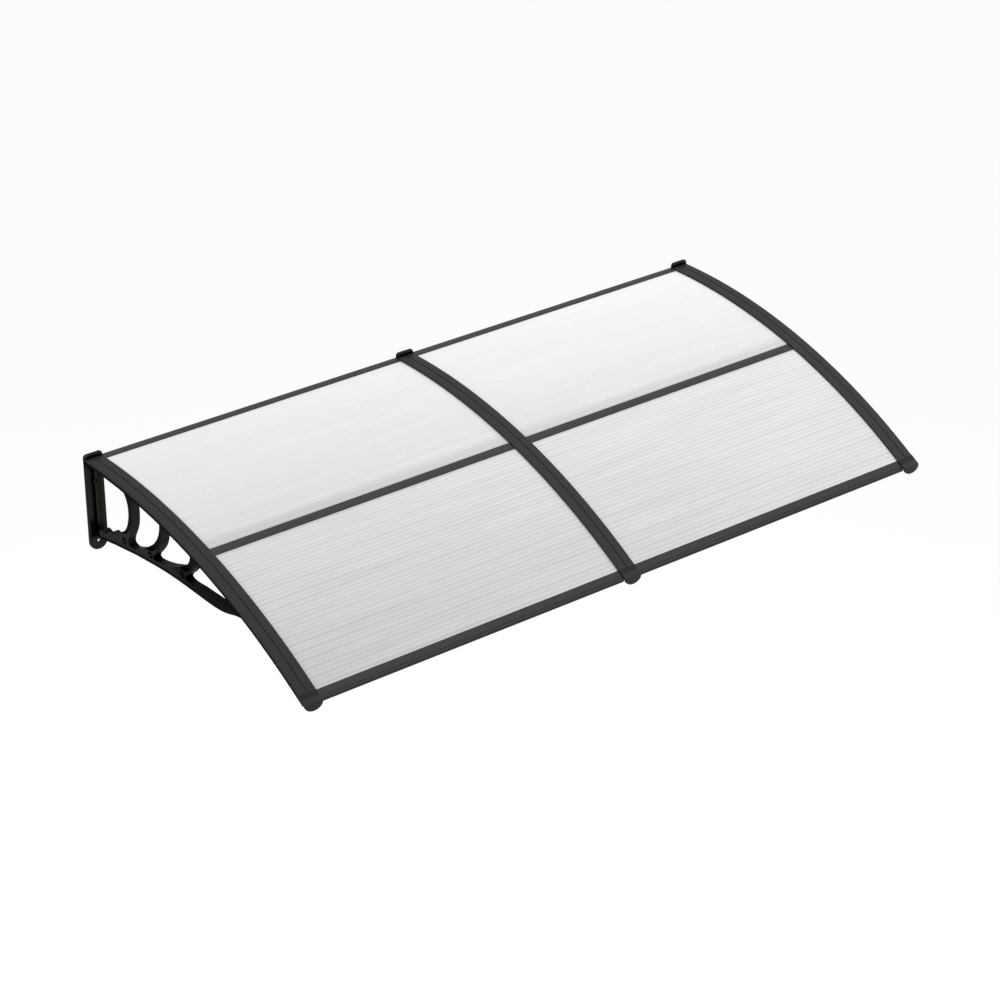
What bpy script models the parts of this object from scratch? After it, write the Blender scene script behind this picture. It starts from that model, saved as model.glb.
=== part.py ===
"""Door canopy: three moulded scroll brackets carry four curved twin-wall sheets.

Frame: X runs along the wall, +Y points into the wall, +Z is up. The wall's face is the plane
y = 0, and the origin is the middle of the centre bracket's wall plate, on its back face.
Lengths are written in millimetres and turned into metres where the meshes are made.
"""

import math

import bmesh
import bpy

MM = 0.001
CLEARANCE = 0.3

# The roof's curve: one circle, seen along the wall. Heights are radial, down from its top.
ROOF_RADIUS = 1741.3
CREST_Y = -59.65
BAY_WIDTH = 950.0
BRACKET_SIDES = {"left": -1, "centre": 0, "right": 1}
BAY_SIDES = {"left": -1, "right": 1}
ARC_STEP = 54.0
SHARP_ANGLE = 35.0
OUTWARD = (0, -1, 0)
ALONG_X = (1, 0, 0)

# Wall plate
PLATE_WIDTH = 52.4
PLATE_THICKNESS = 5.3
PLATE_BELOW_CREST = 259.5
PLATE_LIP = 10.5
PLATE_CORNER = 8.0
SCREW_HOLE_RADIUS = 4.5
LOWER_HOLE_RISE = 24.0
UPPER_HOLE_DROP = 62.5
BOSS_RADIUS = 8.5
BOSS_HEIGHT = 8.5
SPINE_WIDTH = 9.0
SPINE_DEPTH = 7.5
PLATE_CENTRE_DROP = (PLATE_BELOW_CREST - PLATE_LIP) / 2
CREST_Z = PLATE_CENTRE_DROP

# Cover strip and the layers under it
STRIP_WIDTH = 50.2
STRIP_EDGE_RADIUS = 2.0
STRIP_WALL = 2.6
STRIP_REAR_GAP = 3.2
GROOVE_WIDTH = 2.0
GROOVE_DEPTH = 0.9
KEEL_WIDTH = 6.0
SHEET_DROP = 6.0
SHEET_THICKNESS = 4.0
HEAD_THICKNESS = 2.3
HEAD_WIDTH = 50.2
HEAD_RIB_DEPTH = 15.0
RIM_GAP = 0.4
RIM_WIDTH = 2.4
RIM_TOP = 4.0
OUTER_SKIRT = 4.2
LEDGE_INSET = 1.2
HEAD_DROP = SHEET_DROP + SHEET_THICKNESS + CLEARANCE
HEAD_BOTTOM = HEAD_DROP + HEAD_THICKNESS

# Fretwork: a full-width flange with a thin web behind and below it
FLANGE_WIDTH = 23.0
WEB_WIDTH = 6.0
EYE_RADIUS = 11.5
EYE_WIDTH = 24.0
EYE_RING_OUTER = 9.2
EYE_RING_INNER = 4.0
EYE_RING_DEPTH = 5.0
EYE_SIDES = 14
# Where the fourth opening runs out, as (outward, below the crest)
RIB_OPENING_END = ((640.0, 146.0), (672.0, 144.0))
FLANGE_OPENING_END = ((700.0, 142.0),)
# How far above the crest a cut that leaves the head open reaches
CUT_OVER_CREST = 40.0
WEB_ROOT_DROP = 221.5
SPINE_BELOW_GUSSET = 30.0

# Twin-wall sheets
FLUTE_PITCH = 12.0
SHEET_SKIN = 0.6
FLUTE_WALL = 0.8
KEEL_GAP = 1.0

# Rails, as arc lengths forward from the crest
RAIL_LIP = 1.5
RAIL_WEB = 2.0
MIDDLE_RAIL_START = 430.4
MIDDLE_RAIL_WIDTH = 25.2
FRONT_RAIL_START = 902.5
FRONT_RAIL_WIDTH = 30.4
FRONT_BEAD_DROP = 12.2
REAR_RAIL_DEPTH = 20.2
REAR_RAIL_HEIGHT = 13.0
REAR_RAIL_RISE = 1.4
SEAL_THICKNESS = 1.6
SEAL_HEIGHT = 9.0
SHEET_EDGE_GAP = 0.5

# Nose cap
CAP_START = FRONT_RAIL_START + 0.9
CAP_LENGTH = FRONT_RAIL_WIDTH + 0.6
CAP_OVERSIZE = 0.6
CAP_WALL = 2.8
CAP_PLATE = 6.0
CAP_PLATE_STEP = 0.5
CAP_LOBE_STRAIGHT = 2.4
CAP_LOBE_DEPTH = 21.0
RIDGE_COUNT = 4
RIDGE_PITCH = 3.6
RIDGE_HEIGHT = 0.6
RIDGE_START = 2.0

# Screws from below, through the head into the strip's keel
SCREW_PLACES = (60.0, 360.0, 660.0, 880.0)
SCREW_HEAD_RADIUS = 3.6
SCREW_HEAD_HEIGHT = 2.2
SCREW_SHANK_RADIUS = 1.7
SCREW_GRIP = 3.5
SCREW_WELL_RADIUS = 5.0
SCREW_SEAT = 4.0
SCREW_WELL_REACH = 30.0

BLACK_PLASTIC = ("black_plastic", (0.022, 0.022, 0.020), 0.45, 0.0)
COVER_PLASTIC = ("cover_plastic", (0.045, 0.045, 0.043), 0.42, 0.0)
ANODISED = ("anodised_aluminium", (0.075, 0.076, 0.078), 0.38, 0.9)
CLEAR_SHEET = ("twin_wall_polycarbonate", (0.86, 0.87, 0.87), 0.3, 0.0)
RUBBER = ("black_rubber", (0.02, 0.02, 0.02), 0.8, 0.0)
ZINC = ("zinc_plated_steel", (0.55, 0.55, 0.56), 0.35, 1.0)


def clear_scene():
    """Removes whatever the startup file holds."""
    for obj in list(bpy.data.objects):
        bpy.data.objects.remove(obj)


def material(finish):
    """The Principled material of a finish, made once."""
    name, colour, roughness, metallic = finish
    found = bpy.data.materials.get(name)
    if found:
        return found
    made = bpy.data.materials.new(name)
    made.use_nodes = True
    shader = made.node_tree.nodes["Principled BSDF"]
    shader.inputs["Base Color"].default_value = (*colour, 1.0)
    shader.inputs["Roughness"].default_value = roughness
    shader.inputs["Metallic"].default_value = metallic
    made.diffuse_color = (*colour, 1.0)
    return made


def shade(mesh):
    """Shades the round faces smooth and keeps real edges sharp."""
    mesh.shade_smooth()
    mesh.set_sharp_from_angle(angle=math.radians(SHARP_ANGLE))


def add_object(name, bm, finish=None):
    """Turns a bmesh written in millimetres into an object."""
    bmesh.ops.recalc_face_normals(bm, faces=bm.faces)
    bmesh.ops.scale(bm, vec=(MM, MM, MM), verts=bm.verts)
    mesh = bpy.data.meshes.new(name)
    bm.to_mesh(mesh)
    bm.free()
    shade(mesh)
    obj = bpy.data.objects.new(name, mesh)
    bpy.context.scene.collection.objects.link(obj)
    if finish:
        mesh.materials.append(material(finish))
    return obj


def as_tool(obj):
    """Marks an object as a Boolean's other half, kept out of the model."""
    obj.hide_render = True
    obj.display_type = "WIRE"
    return obj


def combine(obj, operation, tools):
    """Adds one Boolean for each tool, in order."""
    for tool in tools:
        as_tool(tool)
        modifier = obj.modifiers.new(f"{operation.lower()}_{tool.name}", "BOOLEAN")
        modifier.operation = operation
        modifier.object = tool
        modifier.solver = "EXACT"
    return obj


def arc_point(drop, length):
    """(y, z) at an arc length forward of the crest and a radial drop below the roof's top."""
    angle = length / ROOF_RADIUS
    radius = ROOF_RADIUS - drop
    return (CREST_Y - radius * math.sin(angle), CREST_Z - ROOF_RADIUS + radius * math.cos(angle))


def arc_length_at(y):
    """Arc length forward of the crest of the roof's top at a distance from the wall."""
    return ROOF_RADIUS * math.asin((CREST_Y - y) / ROOF_RADIUS)


def stations(start, end, step=ARC_STEP):
    """Evenly spaced arc lengths from start to end, at most a step apart."""
    count = max(1, math.ceil(abs(end - start) / step))
    return [start + (end - start) * i / count for i in range(count + 1)]


def below_crest(points):
    """Points given as (distance from the wall, drop below the crest) as (y, z)."""
    return [(-out, CREST_Z - drop) for out, drop in points]


def smooth(points, per_span=2):
    """A Catmull-Rom curve through the points, open at both ends."""
    padded = [points[0], *points, points[-1]]
    found = []
    for a, b, c, d in zip(padded, padded[1:], padded[2:], padded[3:]):
        for i in range(per_span):
            t = i / per_span
            found.append(
                tuple(
                    0.5 * (2 * q + (r - p) * t + (2 * p - 5 * q + 4 * r - s) * t**2
                           + (3 * q - p - 3 * r + s) * t**3)
                    for p, q, r, s in zip(a, b, c, d)
                )
            )
    return [*found, tuple(points[-1])]


def round_corner(centre, radius, start, end, sides=4):
    """Points of an arc in degrees about a centre."""
    return [
        (
            centre[0] + radius * math.cos(math.radians(start + (end - start) * i / sides)),
            centre[1] + radius * math.sin(math.radians(start + (end - start) * i / sides)),
        )
        for i in range(sides + 1)
    ]


def prism(name, outline, low, high, axis="X", finish=None):
    """Extrudes an outline between two planes: (y, z) points along X, or (x, z) points along Y."""
    bm = bmesh.new()
    if axis == "X":
        corners = [bm.verts.new((low, a, b)) for a, b in outline]
        step = (high - low, 0, 0)
    else:
        corners = [bm.verts.new((a, low, b)) for a, b in outline]
        step = (0, high - low, 0)
    base = bm.faces.new(corners)
    top = bmesh.ops.extrude_face_region(bm, geom=[base])
    moved = [item for item in top["geom"] if isinstance(item, bmesh.types.BMVert)]
    bmesh.ops.translate(bm, verts=moved, vec=step)
    return add_object(name, bm, finish)


def arc_band(name, section, lengths, finish=None):
    """Sweeps a closed section of (x, drop) points along the roof's curve."""
    bm = bmesh.new()
    rings = [
        [bm.verts.new((x, *arc_point(drop, length))) for x, drop in section] for length in lengths
    ]
    count = len(section)
    for near, far in zip(rings, rings[1:]):
        for i in range(count):
            j = (i + 1) % count
            bm.faces.new((near[i], near[j], far[j], far[i]))
    bm.faces.new(rings[0])
    bm.faces.new(rings[-1])
    return add_object(name, bm, finish)


def head_section(outer_side):
    """The bracket's head in (x, drop): a flat bar, and on an end bracket a rim inside the skirt.

    The rim stands on a ledge that reaches out under the skirts of the strip and the cap.
    """
    half = HEAD_WIDTH / 2
    section = [(-half, HEAD_BOTTOM), (-half, HEAD_DROP)]
    if outer_side:
        outer = half - STRIP_WALL - RIM_GAP
        section += [(outer - RIM_WIDTH, HEAD_DROP), (outer - RIM_WIDTH, RIM_TOP)]
        ledge = half - LEDGE_INSET
        section += [(outer, RIM_TOP), (outer, SHEET_DROP)]
        section += [(ledge, SHEET_DROP), (ledge, HEAD_BOTTOM)]
    else:
        section += [(half, HEAD_DROP), (half, HEAD_BOTTOM)]
    return [((outer_side or 1) * x, drop) for x, drop in section]


def turned(name, profile, centre, axis, sides=12, ring=False):
    """A round body about an axis: (radius, distance along it) points, solid or a closed ring."""
    sideways = (0, 1, 0) if axis[0] else (1, 0, 0)
    upwards = (0, 0, 1) if axis[0] else (0, -axis[2], axis[1])
    bm = bmesh.new()
    loops = []
    for radius, distance in profile:
        loop = []
        for i in range(sides):
            turn = 2 * math.pi * i / sides
            across, up = radius * math.cos(turn), radius * math.sin(turn)
            place = zip(centre, axis, sideways, upwards)
            loop.append(bm.verts.new([c + distance * a + across * s + up * u for c, a, s, u in place]))
        loops.append(loop)
    pairs = list(zip(loops, loops[1:]))
    if ring:
        pairs.append((loops[-1], loops[0]))
    else:
        bm.faces.new(loops[0])
        bm.faces.new(loops[-1])
    for near, far in pairs:
        for i in range(sides):
            j = (i + 1) % sides
            bm.faces.new((near[i], near[j], far[j], far[i]))
    return add_object(name, bm)


def rod(name, radius, start, end, centre, axis, sides=12):
    """A plain round bar between two distances along an axis."""
    return turned(name, [(radius, start), (radius, end)], centre, axis, sides)


# Lines of the fretwork, as (distance from the wall, drop below the crest)
WEB_UNDERSIDE = (
    (50, 217), (89, 210), (137, 202), (194, 193.5), (231, 189.5), (287, 183.5),
    (346, 179.5), (413, 178), (512, 178.5), (567, 176), (602, 169.5), (630, 161), (652, 156.5),
    (676, 152.5),
)
FLANGE_UNDERSIDE = (
    (31, 208), (66, 200), (105, 191), (153, 183), (210, 175.5), (247, 171), (300, 165.5),
    (361, 160.5), (428, 158.5), (527, 154.5), (582, 152), (640, 149.5),
)
ARM_TIP_WEB = 706.0
ARM_TIP_FLANGE = 700.0
SCROLL_FRONTS = (
    ((197, 40), (196.5, 62), (196, 84), (194.5, 101), (189, 120), (181, 136), (172, 152)),
    ((331, 62), (332, 76), (330, 89), (325.5, 102), (317, 117), (303, 134), (290, 147)),
    ((478, 84), (474, 98), (464, 112), (449, 127.5), (436, 138)),
)
ARM_TOPS = (
    ((24, 197), (33, 191), (42, 186.5), (51, 188), (60, 190), (71, 184), (86, 173.5), (100, 174)),
    ((168.5, 163), (172, 171), (184, 174.5), (196, 172.5), (208, 167.5), (222, 162)),
    ((285, 156), (290, 160.5), (303, 160), (326, 156), (362, 146), (380, 139)),
    ((430, 147), (437, 152.5), (459, 153.5), (492, 150.5), (525, 149.5), (568, 148)),
)
WEB_BACKS = (
    ((120, 162), (138, 150), (149, 139), (158, 121.5), (163.4, 102.5), (165, 85), (163, 67),
     (156, 50), (144, 37), (128, 28)),
    ((242, 150), (257, 140), (270, 130.5), (282, 119.5), (295, 103), (303.5, 86), (307.5, 70),
     (308, 55), (302, 40)),
    ((399, 132), (418, 121.5), (433, 109), (440.5, 96), (441.5, 84), (436, 70)),
)
FLANGE_BACKS = (
    ((120, 162), (142, 154), (162, 144), (176, 131), (185, 115), (190, 98), (191.5, 82),
     (192, 62), (192, 40), (191, 20)),
    ((242, 150), (262, 147), (282, 140), (297, 128), (311, 112), (320, 99), (325, 87),
     (327, 74), (326.5, 60), (324, 30)),
    ((399, 132), (418, 131.5), (434, 129.5), (445, 122), (459, 109), (469, 95), (473, 82),
     (473, 50)),
)
EYES = ((152, 169), (274, 154), (416.5, 144.5))
GUSSET_TOP = 158.0
ROOT_START = 33.0


def arc_line(drop, start_y, end_y):
    """(y, z) points along the roof's curve between two distances from the wall."""
    first = arc_length_at(-start_y)
    last = arc_length_at(-end_y)
    return [arc_point(drop, length) for length in stations(first, last)]


def opening_outline(index, backs, ceiling, set_in):
    """The closed outline of one opening: its rear side, floor, front side and ceiling.

    A layer whose floor and scroll fronts are set in stays inside the layer that faces it.
    """
    floor = [(out, drop + set_in) for out, drop in smooth(ARM_TOPS[index])]
    if index == 0:
        root = PLATE_THICKNESS - set_in
        rear = [(root, 0), (root, GUSSET_TOP)]
    else:
        rear = [(out - set_in, drop) for out, drop in smooth(SCROLL_FRONTS[index - 1])]
    if index < len(backs):
        front = smooth(backs[index])
    else:
        front = RIB_OPENING_END if ceiling else FLANGE_OPENING_END
    side = below_crest([*rear, *floor, *front])
    if ceiling is None:
        cover = below_crest(
            [(-side[-1][0], -CUT_OVER_CREST), (-side[0][0], -CUT_OVER_CREST)]
        )
    else:
        side = [point for point in side if below_ceiling(point, ceiling)]
        cover = arc_line(ceiling, -side[-1][0], -side[0][0])
    return [*side, *cover]


def below_ceiling(point, drop):
    """Whether a (y, z) point lies clearly under the curve at a radial drop."""
    height = math.hypot(point[0] - CREST_Y, point[1] - (CREST_Z - ROOF_RADIUS))
    return height < ROOF_RADIUS - drop - 1.0


def fret_body(name, half_width, outline, backs, ceiling, set_in):
    """One layer of the fretwork: its outline under the head, less the four openings."""
    body = prism(name, outline, -half_width, half_width)
    cuts = [
        prism(
            f"{name}_opening_{i + 1}",
            opening_outline(i, backs, ceiling, set_in),
            -half_width - 5,
            half_width + 5,
        )
        for i in range(4)
    ]
    return combine(body, "DIFFERENCE", cuts)


def web_outline(front):
    """The thin layer: the arm's underside, then a rib under the head as far as the nose."""
    start = PLATE_THICKNESS - 1.0
    line = below_crest(smooth(((start, WEB_ROOT_DROP), *WEB_UNDERSIDE)))
    rib = arc_line(HEAD_BOTTOM + HEAD_RIB_DEPTH, ARM_TIP_WEB, front)
    return [*line, *rib, *arc_line(HEAD_BOTTOM - 1.0, front, start)]


def flange_outline():
    """The wide layer: from the arm's root to the tip where it runs out under the head."""
    line = below_crest(smooth(FLANGE_UNDERSIDE))
    tip = arc_line(HEAD_BOTTOM + 3.0, ARM_TIP_FLANGE, ARM_TIP_FLANGE + 1.0)[:1]
    return [*line, *tip, *arc_line(HEAD_BOTTOM - 1.5, ARM_TIP_FLANGE - 15, ROOT_START)]


def cap_front():
    """The (y, z) place of the cap's front edge, on its top."""
    return arc_point(-CAP_OVERSIZE, CAP_START + CAP_LENGTH)


def wall_plate_outline():
    """The plate in (x, z): round top corners and a half-round lower end."""
    half = PLATE_WIDTH / 2
    top = CREST_Z + PLATE_LIP
    low = CREST_Z - PLATE_BELOW_CREST
    corner = half - PLATE_CORNER
    return [
        *round_corner((corner, top - PLATE_CORNER), PLATE_CORNER, 0, 90),
        *round_corner((-corner, top - PLATE_CORNER), PLATE_CORNER, 90, 180),
        *round_corner((0, low + half), half, 180, 360, 14),
    ]


def bracket_mesh(outer_side):
    """The mesh of one moulded bracket about its own middle plane."""
    plate = prism("bracket_form", wall_plate_outline(), 0, -PLATE_THICKNESS, "Y")
    cap_inner = arc_length_at(cap_front()[0] + CAP_PLATE + CLEARANCE)
    head_rear = arc_length_at(-PLATE_THICKNESS + 1.0)
    lengths = stations(head_rear, cap_inner)
    head = arc_band("head", head_section(outer_side), lengths)
    web = fret_body(
        "web",
        WEB_WIDTH / 2,
        web_outline(-arc_point(HEAD_BOTTOM, cap_inner - 2.0)[0]),
        WEB_BACKS,
        HEAD_BOTTOM + HEAD_RIB_DEPTH,
        1.0,
    )
    flange = fret_body("flange", FLANGE_WIDTH / 2, flange_outline(), FLANGE_BACKS, None, 0.0)
    eyes = [
        rod("eye", EYE_RADIUS, -EYE_WIDTH / 2, EYE_WIDTH / 2, (0, *centre), ALONG_X, EYE_SIDES)
        for centre in below_crest(EYES)
    ]
    spine_low = CREST_Z - GUSSET_TOP - SPINE_BELOW_GUSSET
    spine = prism(
        "spine",
        [
            (-PLATE_THICKNESS + 1, spine_low),
            (-PLATE_THICKNESS - SPINE_DEPTH, spine_low),
            (-PLATE_THICKNESS - SPINE_DEPTH, CREST_Z - HEAD_BOTTOM - 4),
            (-PLATE_THICKNESS + 1, CREST_Z - HEAD_BOTTOM - 4),
        ],
        -SPINE_WIDTH / 2,
        SPINE_WIDTH / 2,
    )
    upper_z = CREST_Z - UPPER_HOLE_DROP
    lower_z = CREST_Z - PLATE_BELOW_CREST + LOWER_HOLE_RISE
    boss_end = PLATE_THICKNESS + BOSS_HEIGHT
    boss = rod("boss", BOSS_RADIUS, 1, boss_end, (0, 0, upper_z), OUTWARD, 16)
    joined = [head, web, flange, *eyes, spine, boss]
    cuts = [
        rod("upper_hole", SCREW_HOLE_RADIUS, -2, boss_end + 2, (0, 0, upper_z), OUTWARD, 20),
        rod("lower_hole", SCREW_HOLE_RADIUS, -2, boss_end + 2, (0, 0, lower_z), OUTWARD, 20),
    ]
    for centre in below_crest(EYES):
        cuts += eye_rings(centre)
    for length in SCREW_PLACES:
        cuts += screw_holes(length)
    combine(plate, "UNION", joined)
    combine(plate, "DIFFERENCE", cuts)
    graph = bpy.context.evaluated_depsgraph_get()
    mesh = bpy.data.meshes.new_from_object(plate.evaluated_get(graph))
    for tool in [*joined, *cuts, plate]:
        bpy.data.objects.remove(tool)
    for spare in [obj for obj in bpy.data.objects if "_opening_" in obj.name]:
        bpy.data.objects.remove(spare)
    mesh.materials.clear()
    mesh.materials.append(material(BLACK_PLASTIC))
    shade(mesh)
    return mesh


def eye_rings(centre):
    """Ring-shaped cutters on both faces of an eye."""
    rings = []
    for side in (-1, 1):
        start = side * (EYE_WIDTH / 2 + 2)
        end = side * (EYE_WIDTH / 2 - EYE_RING_DEPTH)
        profile = [(EYE_RING_OUTER, start), (EYE_RING_OUTER, end), (EYE_RING_INNER, end),
                   (EYE_RING_INNER, start)]
        rings.append(turned("eye_ring", profile, (0, *centre), ALONG_X, EYE_SIDES, ring=True))
    return rings


def inward(length):
    """The unit direction from the roof towards its centre."""
    angle = length / ROOF_RADIUS
    return (0, math.sin(angle), -math.cos(angle))


def screw_holes(length):
    """Cutters for one screw: its clearance hole and the well that its head sits in."""
    centre = (0, *arc_point(0, length))
    direction = inward(length)
    bottom = HEAD_BOTTOM + HEAD_RIB_DEPTH + SCREW_WELL_REACH
    seat = HEAD_BOTTOM + SCREW_SEAT
    radius = SCREW_SHANK_RADIUS + CLEARANCE
    hole = rod("screw_hole", radius, HEAD_DROP - 2, bottom, centre, direction, 10)
    well = rod("screw_well", SCREW_WELL_RADIUS, seat, bottom, centre, direction)
    return [hole, well]


def make_bracket(side, sign):
    """One moulded bracket: an end bracket has a rim along its open side."""
    bracket = bpy.data.objects.new(f"bracket_{side}", bracket_mesh(sign))
    bpy.context.scene.collection.objects.link(bracket)
    bracket.location = (sign * BAY_WIDTH * MM, 0, 0)


def strip_section(outer_side):
    """The cover strip in (x, drop): a crowned channel with a keel and a groove along its top.

    An end strip's skirt reaches lower on the open side, where no sheet runs under it.
    """
    half = STRIP_WIDTH / 2
    inner = half - STRIP_WALL
    keel = HEAD_DROP - CLEARANCE
    edge = STRIP_EDGE_RADIUS

    def right_half(skirt):
        return [
            (GROOVE_WIDTH / 2, GROOVE_DEPTH),
            (GROOVE_WIDTH / 2, 0),
            *[(x, edge - z) for x, z in round_corner((half - edge, 0), edge, 90, 0, 2)],
            (half, skirt),
            (inner, skirt),
            (inner, STRIP_WALL),
            (KEEL_WIDTH / 2, STRIP_WALL),
            (KEEL_WIDTH / 2, keel),
        ]

    over_sheet = SHEET_DROP - CLEARANCE
    right = right_half(OUTER_SKIRT if outer_side else over_sheet)
    section = [*right, *[(-x, drop) for x, drop in reversed(right_half(over_sheet))]]
    return [((outer_side or 1) * x, drop) for x, drop in section]


def make_strip(side, sign):
    """The cover strip over one bracket, with its screws' pilot holes."""
    rear = arc_length_at(-PLATE_THICKNESS - STRIP_REAR_GAP)
    lengths = stations(rear, CAP_START - CLEARANCE)
    strip = arc_band(f"cover_strip_{side}", strip_section(sign), lengths, COVER_PLASTIC)
    strip.location = (sign * BAY_WIDTH * MM, 0, 0)
    top = HEAD_DROP - SCREW_GRIP - CLEARANCE
    radius = SCREW_SHANK_RADIUS + CLEARANCE
    pilots = []
    for length in SCREW_PLACES:
        centre = (sign * BAY_WIDTH, *arc_point(0, length))
        pilots.append(rod("pilot", radius, top, HEAD_DROP + 2, centre, inward(length), 10))
    combine(strip, "DIFFERENCE", pilots)


def cap_sleeve(name):
    """The cap's sleeve: the strip's channel, a little larger, with ridges across its top."""
    half = STRIP_WIDTH / 2 + CAP_OVERSIZE
    skirt = SHEET_DROP - CLEARANCE
    end = CAP_START + CAP_LENGTH - CAP_PLATE_STEP

    def section(top):
        edge = STRIP_EDGE_RADIUS
        right = [
            *[(x, edge - z + top) for x, z in round_corner((half - edge, 0), edge, 90, 0, 3)],
            (half, skirt),
            (half - CAP_WALL, skirt),
            (half - CAP_WALL, CAP_WALL),
        ]
        return [*right, *[(-x, drop) for x, drop in reversed(right)]]

    profile = [(CAP_START, -CAP_OVERSIZE)]
    for i in range(RIDGE_COUNT):
        start = CAP_START + RIDGE_START + i * RIDGE_PITCH
        profile += [
            (start, -CAP_OVERSIZE),
            (start + RIDGE_PITCH / 4, RIDGE_HEIGHT - CAP_OVERSIZE),
            (start + RIDGE_PITCH / 2, -CAP_OVERSIZE),
        ]
    profile.append((end, -CAP_OVERSIZE))
    bm = bmesh.new()
    rings = [
        [bm.verts.new((x, *arc_point(drop, length))) for x, drop in section(top)]
        for length, top in profile
    ]
    count = len(rings[0])
    for near, far in zip(rings, rings[1:]):
        for i in range(count):
            j = (i + 1) % count
            bm.faces.new((near[i], near[j], far[j], far[i]))
    bm.faces.new(rings[0])
    bm.faces.new(rings[-1])
    return add_object(name, bm, COVER_PLASTIC)


def cap_plate():
    """The cap's end plate: upright, with a straight top and a half-round lobe below it."""
    half = STRIP_WIDTH / 2 + CAP_OVERSIZE - CAP_PLATE_STEP
    front, crown = cap_front()
    top = crown - CAP_PLATE_STEP
    edge = STRIP_EDGE_RADIUS
    corner = round_corner((half - edge, top - edge), edge, 90, 0, 3)
    reach = CAP_LOBE_DEPTH - CAP_LOBE_STRAIGHT
    lobe = [
        (half * math.cos(turn), top - CAP_LOBE_STRAIGHT - reach * math.sin(turn))
        for turn in (math.radians(12 * i) for i in range(16))
    ]
    outline = [*corner, *lobe, *[(-x, z) for x, z in reversed(corner)]]
    return prism("nose_plate", outline, front, front + CAP_PLATE, "Y")


def make_cap(side, sign):
    """The cap over the front end of one strip."""
    cap = cap_sleeve(f"nose_cap_{side}")
    plate = cap_plate()
    for body in (cap, plate):
        body.location = (sign * BAY_WIDTH * MM, 0, 0)
    combine(cap, "UNION", [plate])


def make_screws(side, sign):
    """The pan-head screws that pull one strip down on its bracket."""
    seat = HEAD_BOTTOM + SCREW_SEAT + CLEARANCE
    profile = [
        (SCREW_SHANK_RADIUS, HEAD_DROP - SCREW_GRIP),
        (SCREW_SHANK_RADIUS, seat),
        (SCREW_HEAD_RADIUS, seat),
        (SCREW_HEAD_RADIUS, seat + SCREW_HEAD_HEIGHT),
    ]
    for number, length in enumerate(SCREW_PLACES, 1):
        centre = (sign * BAY_WIDTH, *arc_point(0, length))
        screw = turned(f"strip_screw_{side}_{number}", profile, centre, inward(length), 10)
        screw.data.materials.append(material(ZINC))


def make_sheet(name, x_low, x_high, start, end):
    """A twin-wall sheet bent to the roof's curve, with open flutes along X."""
    cells = max(1, round((end - start) / FLUTE_PITCH))
    edges = [start + (end - start) * i / cells for i in range(cells + 1)]
    top = SHEET_DROP
    bottom = SHEET_DROP + SHEET_THICKNESS
    bm = bmesh.new()

    def row(length, drop):
        return [bm.verts.new((x, *arc_point(drop, length))) for x in (x_low, x_high)]

    skins = [(row(length, top), row(length, bottom)) for length in edges]
    for (top_a, low_a), (top_b, low_b), first, last in zip(skins, skins[1:], edges, edges[1:]):
        bm.faces.new((top_a[0], top_a[1], top_b[1], top_b[0]))
        bm.faces.new((low_a[0], low_b[0], low_b[1], low_a[1]))
        near, far = first + FLUTE_WALL / 2, last - FLUTE_WALL / 2
        ceiling, floor = top + SHEET_SKIN, bottom - SHEET_SKIN
        flute = [row(near, ceiling), row(far, ceiling), row(far, floor), row(near, floor)]
        outer = [top_a, top_b, low_b, low_a]
        for i in range(4):
            j = (i + 1) % 4
            bm.faces.new((flute[i][0], flute[j][0], flute[j][1], flute[i][1]))
            for side in (0, 1):
                bm.faces.new((outer[i][side], outer[j][side], flute[j][side], flute[i][side]))
    for top_edge, low_edge in (skins[0], skins[-1]):
        bm.faces.new((top_edge[0], top_edge[1], low_edge[1], low_edge[0]))
    return add_object(name, bm, CLEAR_SHEET)


def make_sheets():
    """A rear and a front sheet in each bay, which meet in the middle rail."""
    margin = KEEL_WIDTH / 2 + KEEL_GAP
    rear_start = arc_length_at(-PLATE_THICKNESS - CLEARANCE)
    web_middle = MIDDLE_RAIL_START + MIDDLE_RAIL_WIDTH / 2
    reach = RAIL_WEB / 2 + SHEET_EDGE_GAP
    front_end = FRONT_RAIL_START + FRONT_RAIL_WIDTH * 0.7
    for side, sign in BAY_SIDES.items():
        low = min(0, sign * BAY_WIDTH) + margin
        high = max(0, sign * BAY_WIDTH) - margin
        make_sheet(f"rear_sheet_{side}", low, high, rear_start, web_middle - reach)
        make_sheet(f"front_sheet_{side}", low, high, web_middle + reach, front_end)


def rail(name, section, length, sign, end_gap, finish=ANODISED):
    """A straight bar between two brackets: section in (forward, drop) at an arc length."""
    angle = length / ROOF_RADIUS
    origin = arc_point(0, length)
    outline = [
        (
            origin[0] - forward * math.cos(angle) + drop * math.sin(angle),
            origin[1] - forward * math.sin(angle) - drop * math.cos(angle),
        )
        for forward, drop in section
    ]
    low = min(0, sign * BAY_WIDTH) + end_gap
    high = max(0, sign * BAY_WIDTH) - end_gap
    return prism(name, outline, low, high, "X", finish)


def middle_section():
    """An H: two slots back to back, open to the rear and front sheets."""
    half = MIDDLE_RAIL_WIDTH / 2
    web = RAIL_WEB / 2
    inner_top = SHEET_DROP - CLEARANCE
    inner_low = SHEET_DROP + SHEET_THICKNESS + CLEARANCE
    return [
        (-half, inner_top - RAIL_LIP),
        (half, inner_top - RAIL_LIP),
        (half, inner_top),
        (web, inner_top),
        (web, inner_low),
        (half, inner_low),
        (half, inner_low + RAIL_LIP),
        (-half, inner_low + RAIL_LIP),
        (-half, inner_low),
        (-web, inner_low),
        (-web, inner_top),
        (-half, inner_top),
    ]


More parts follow.
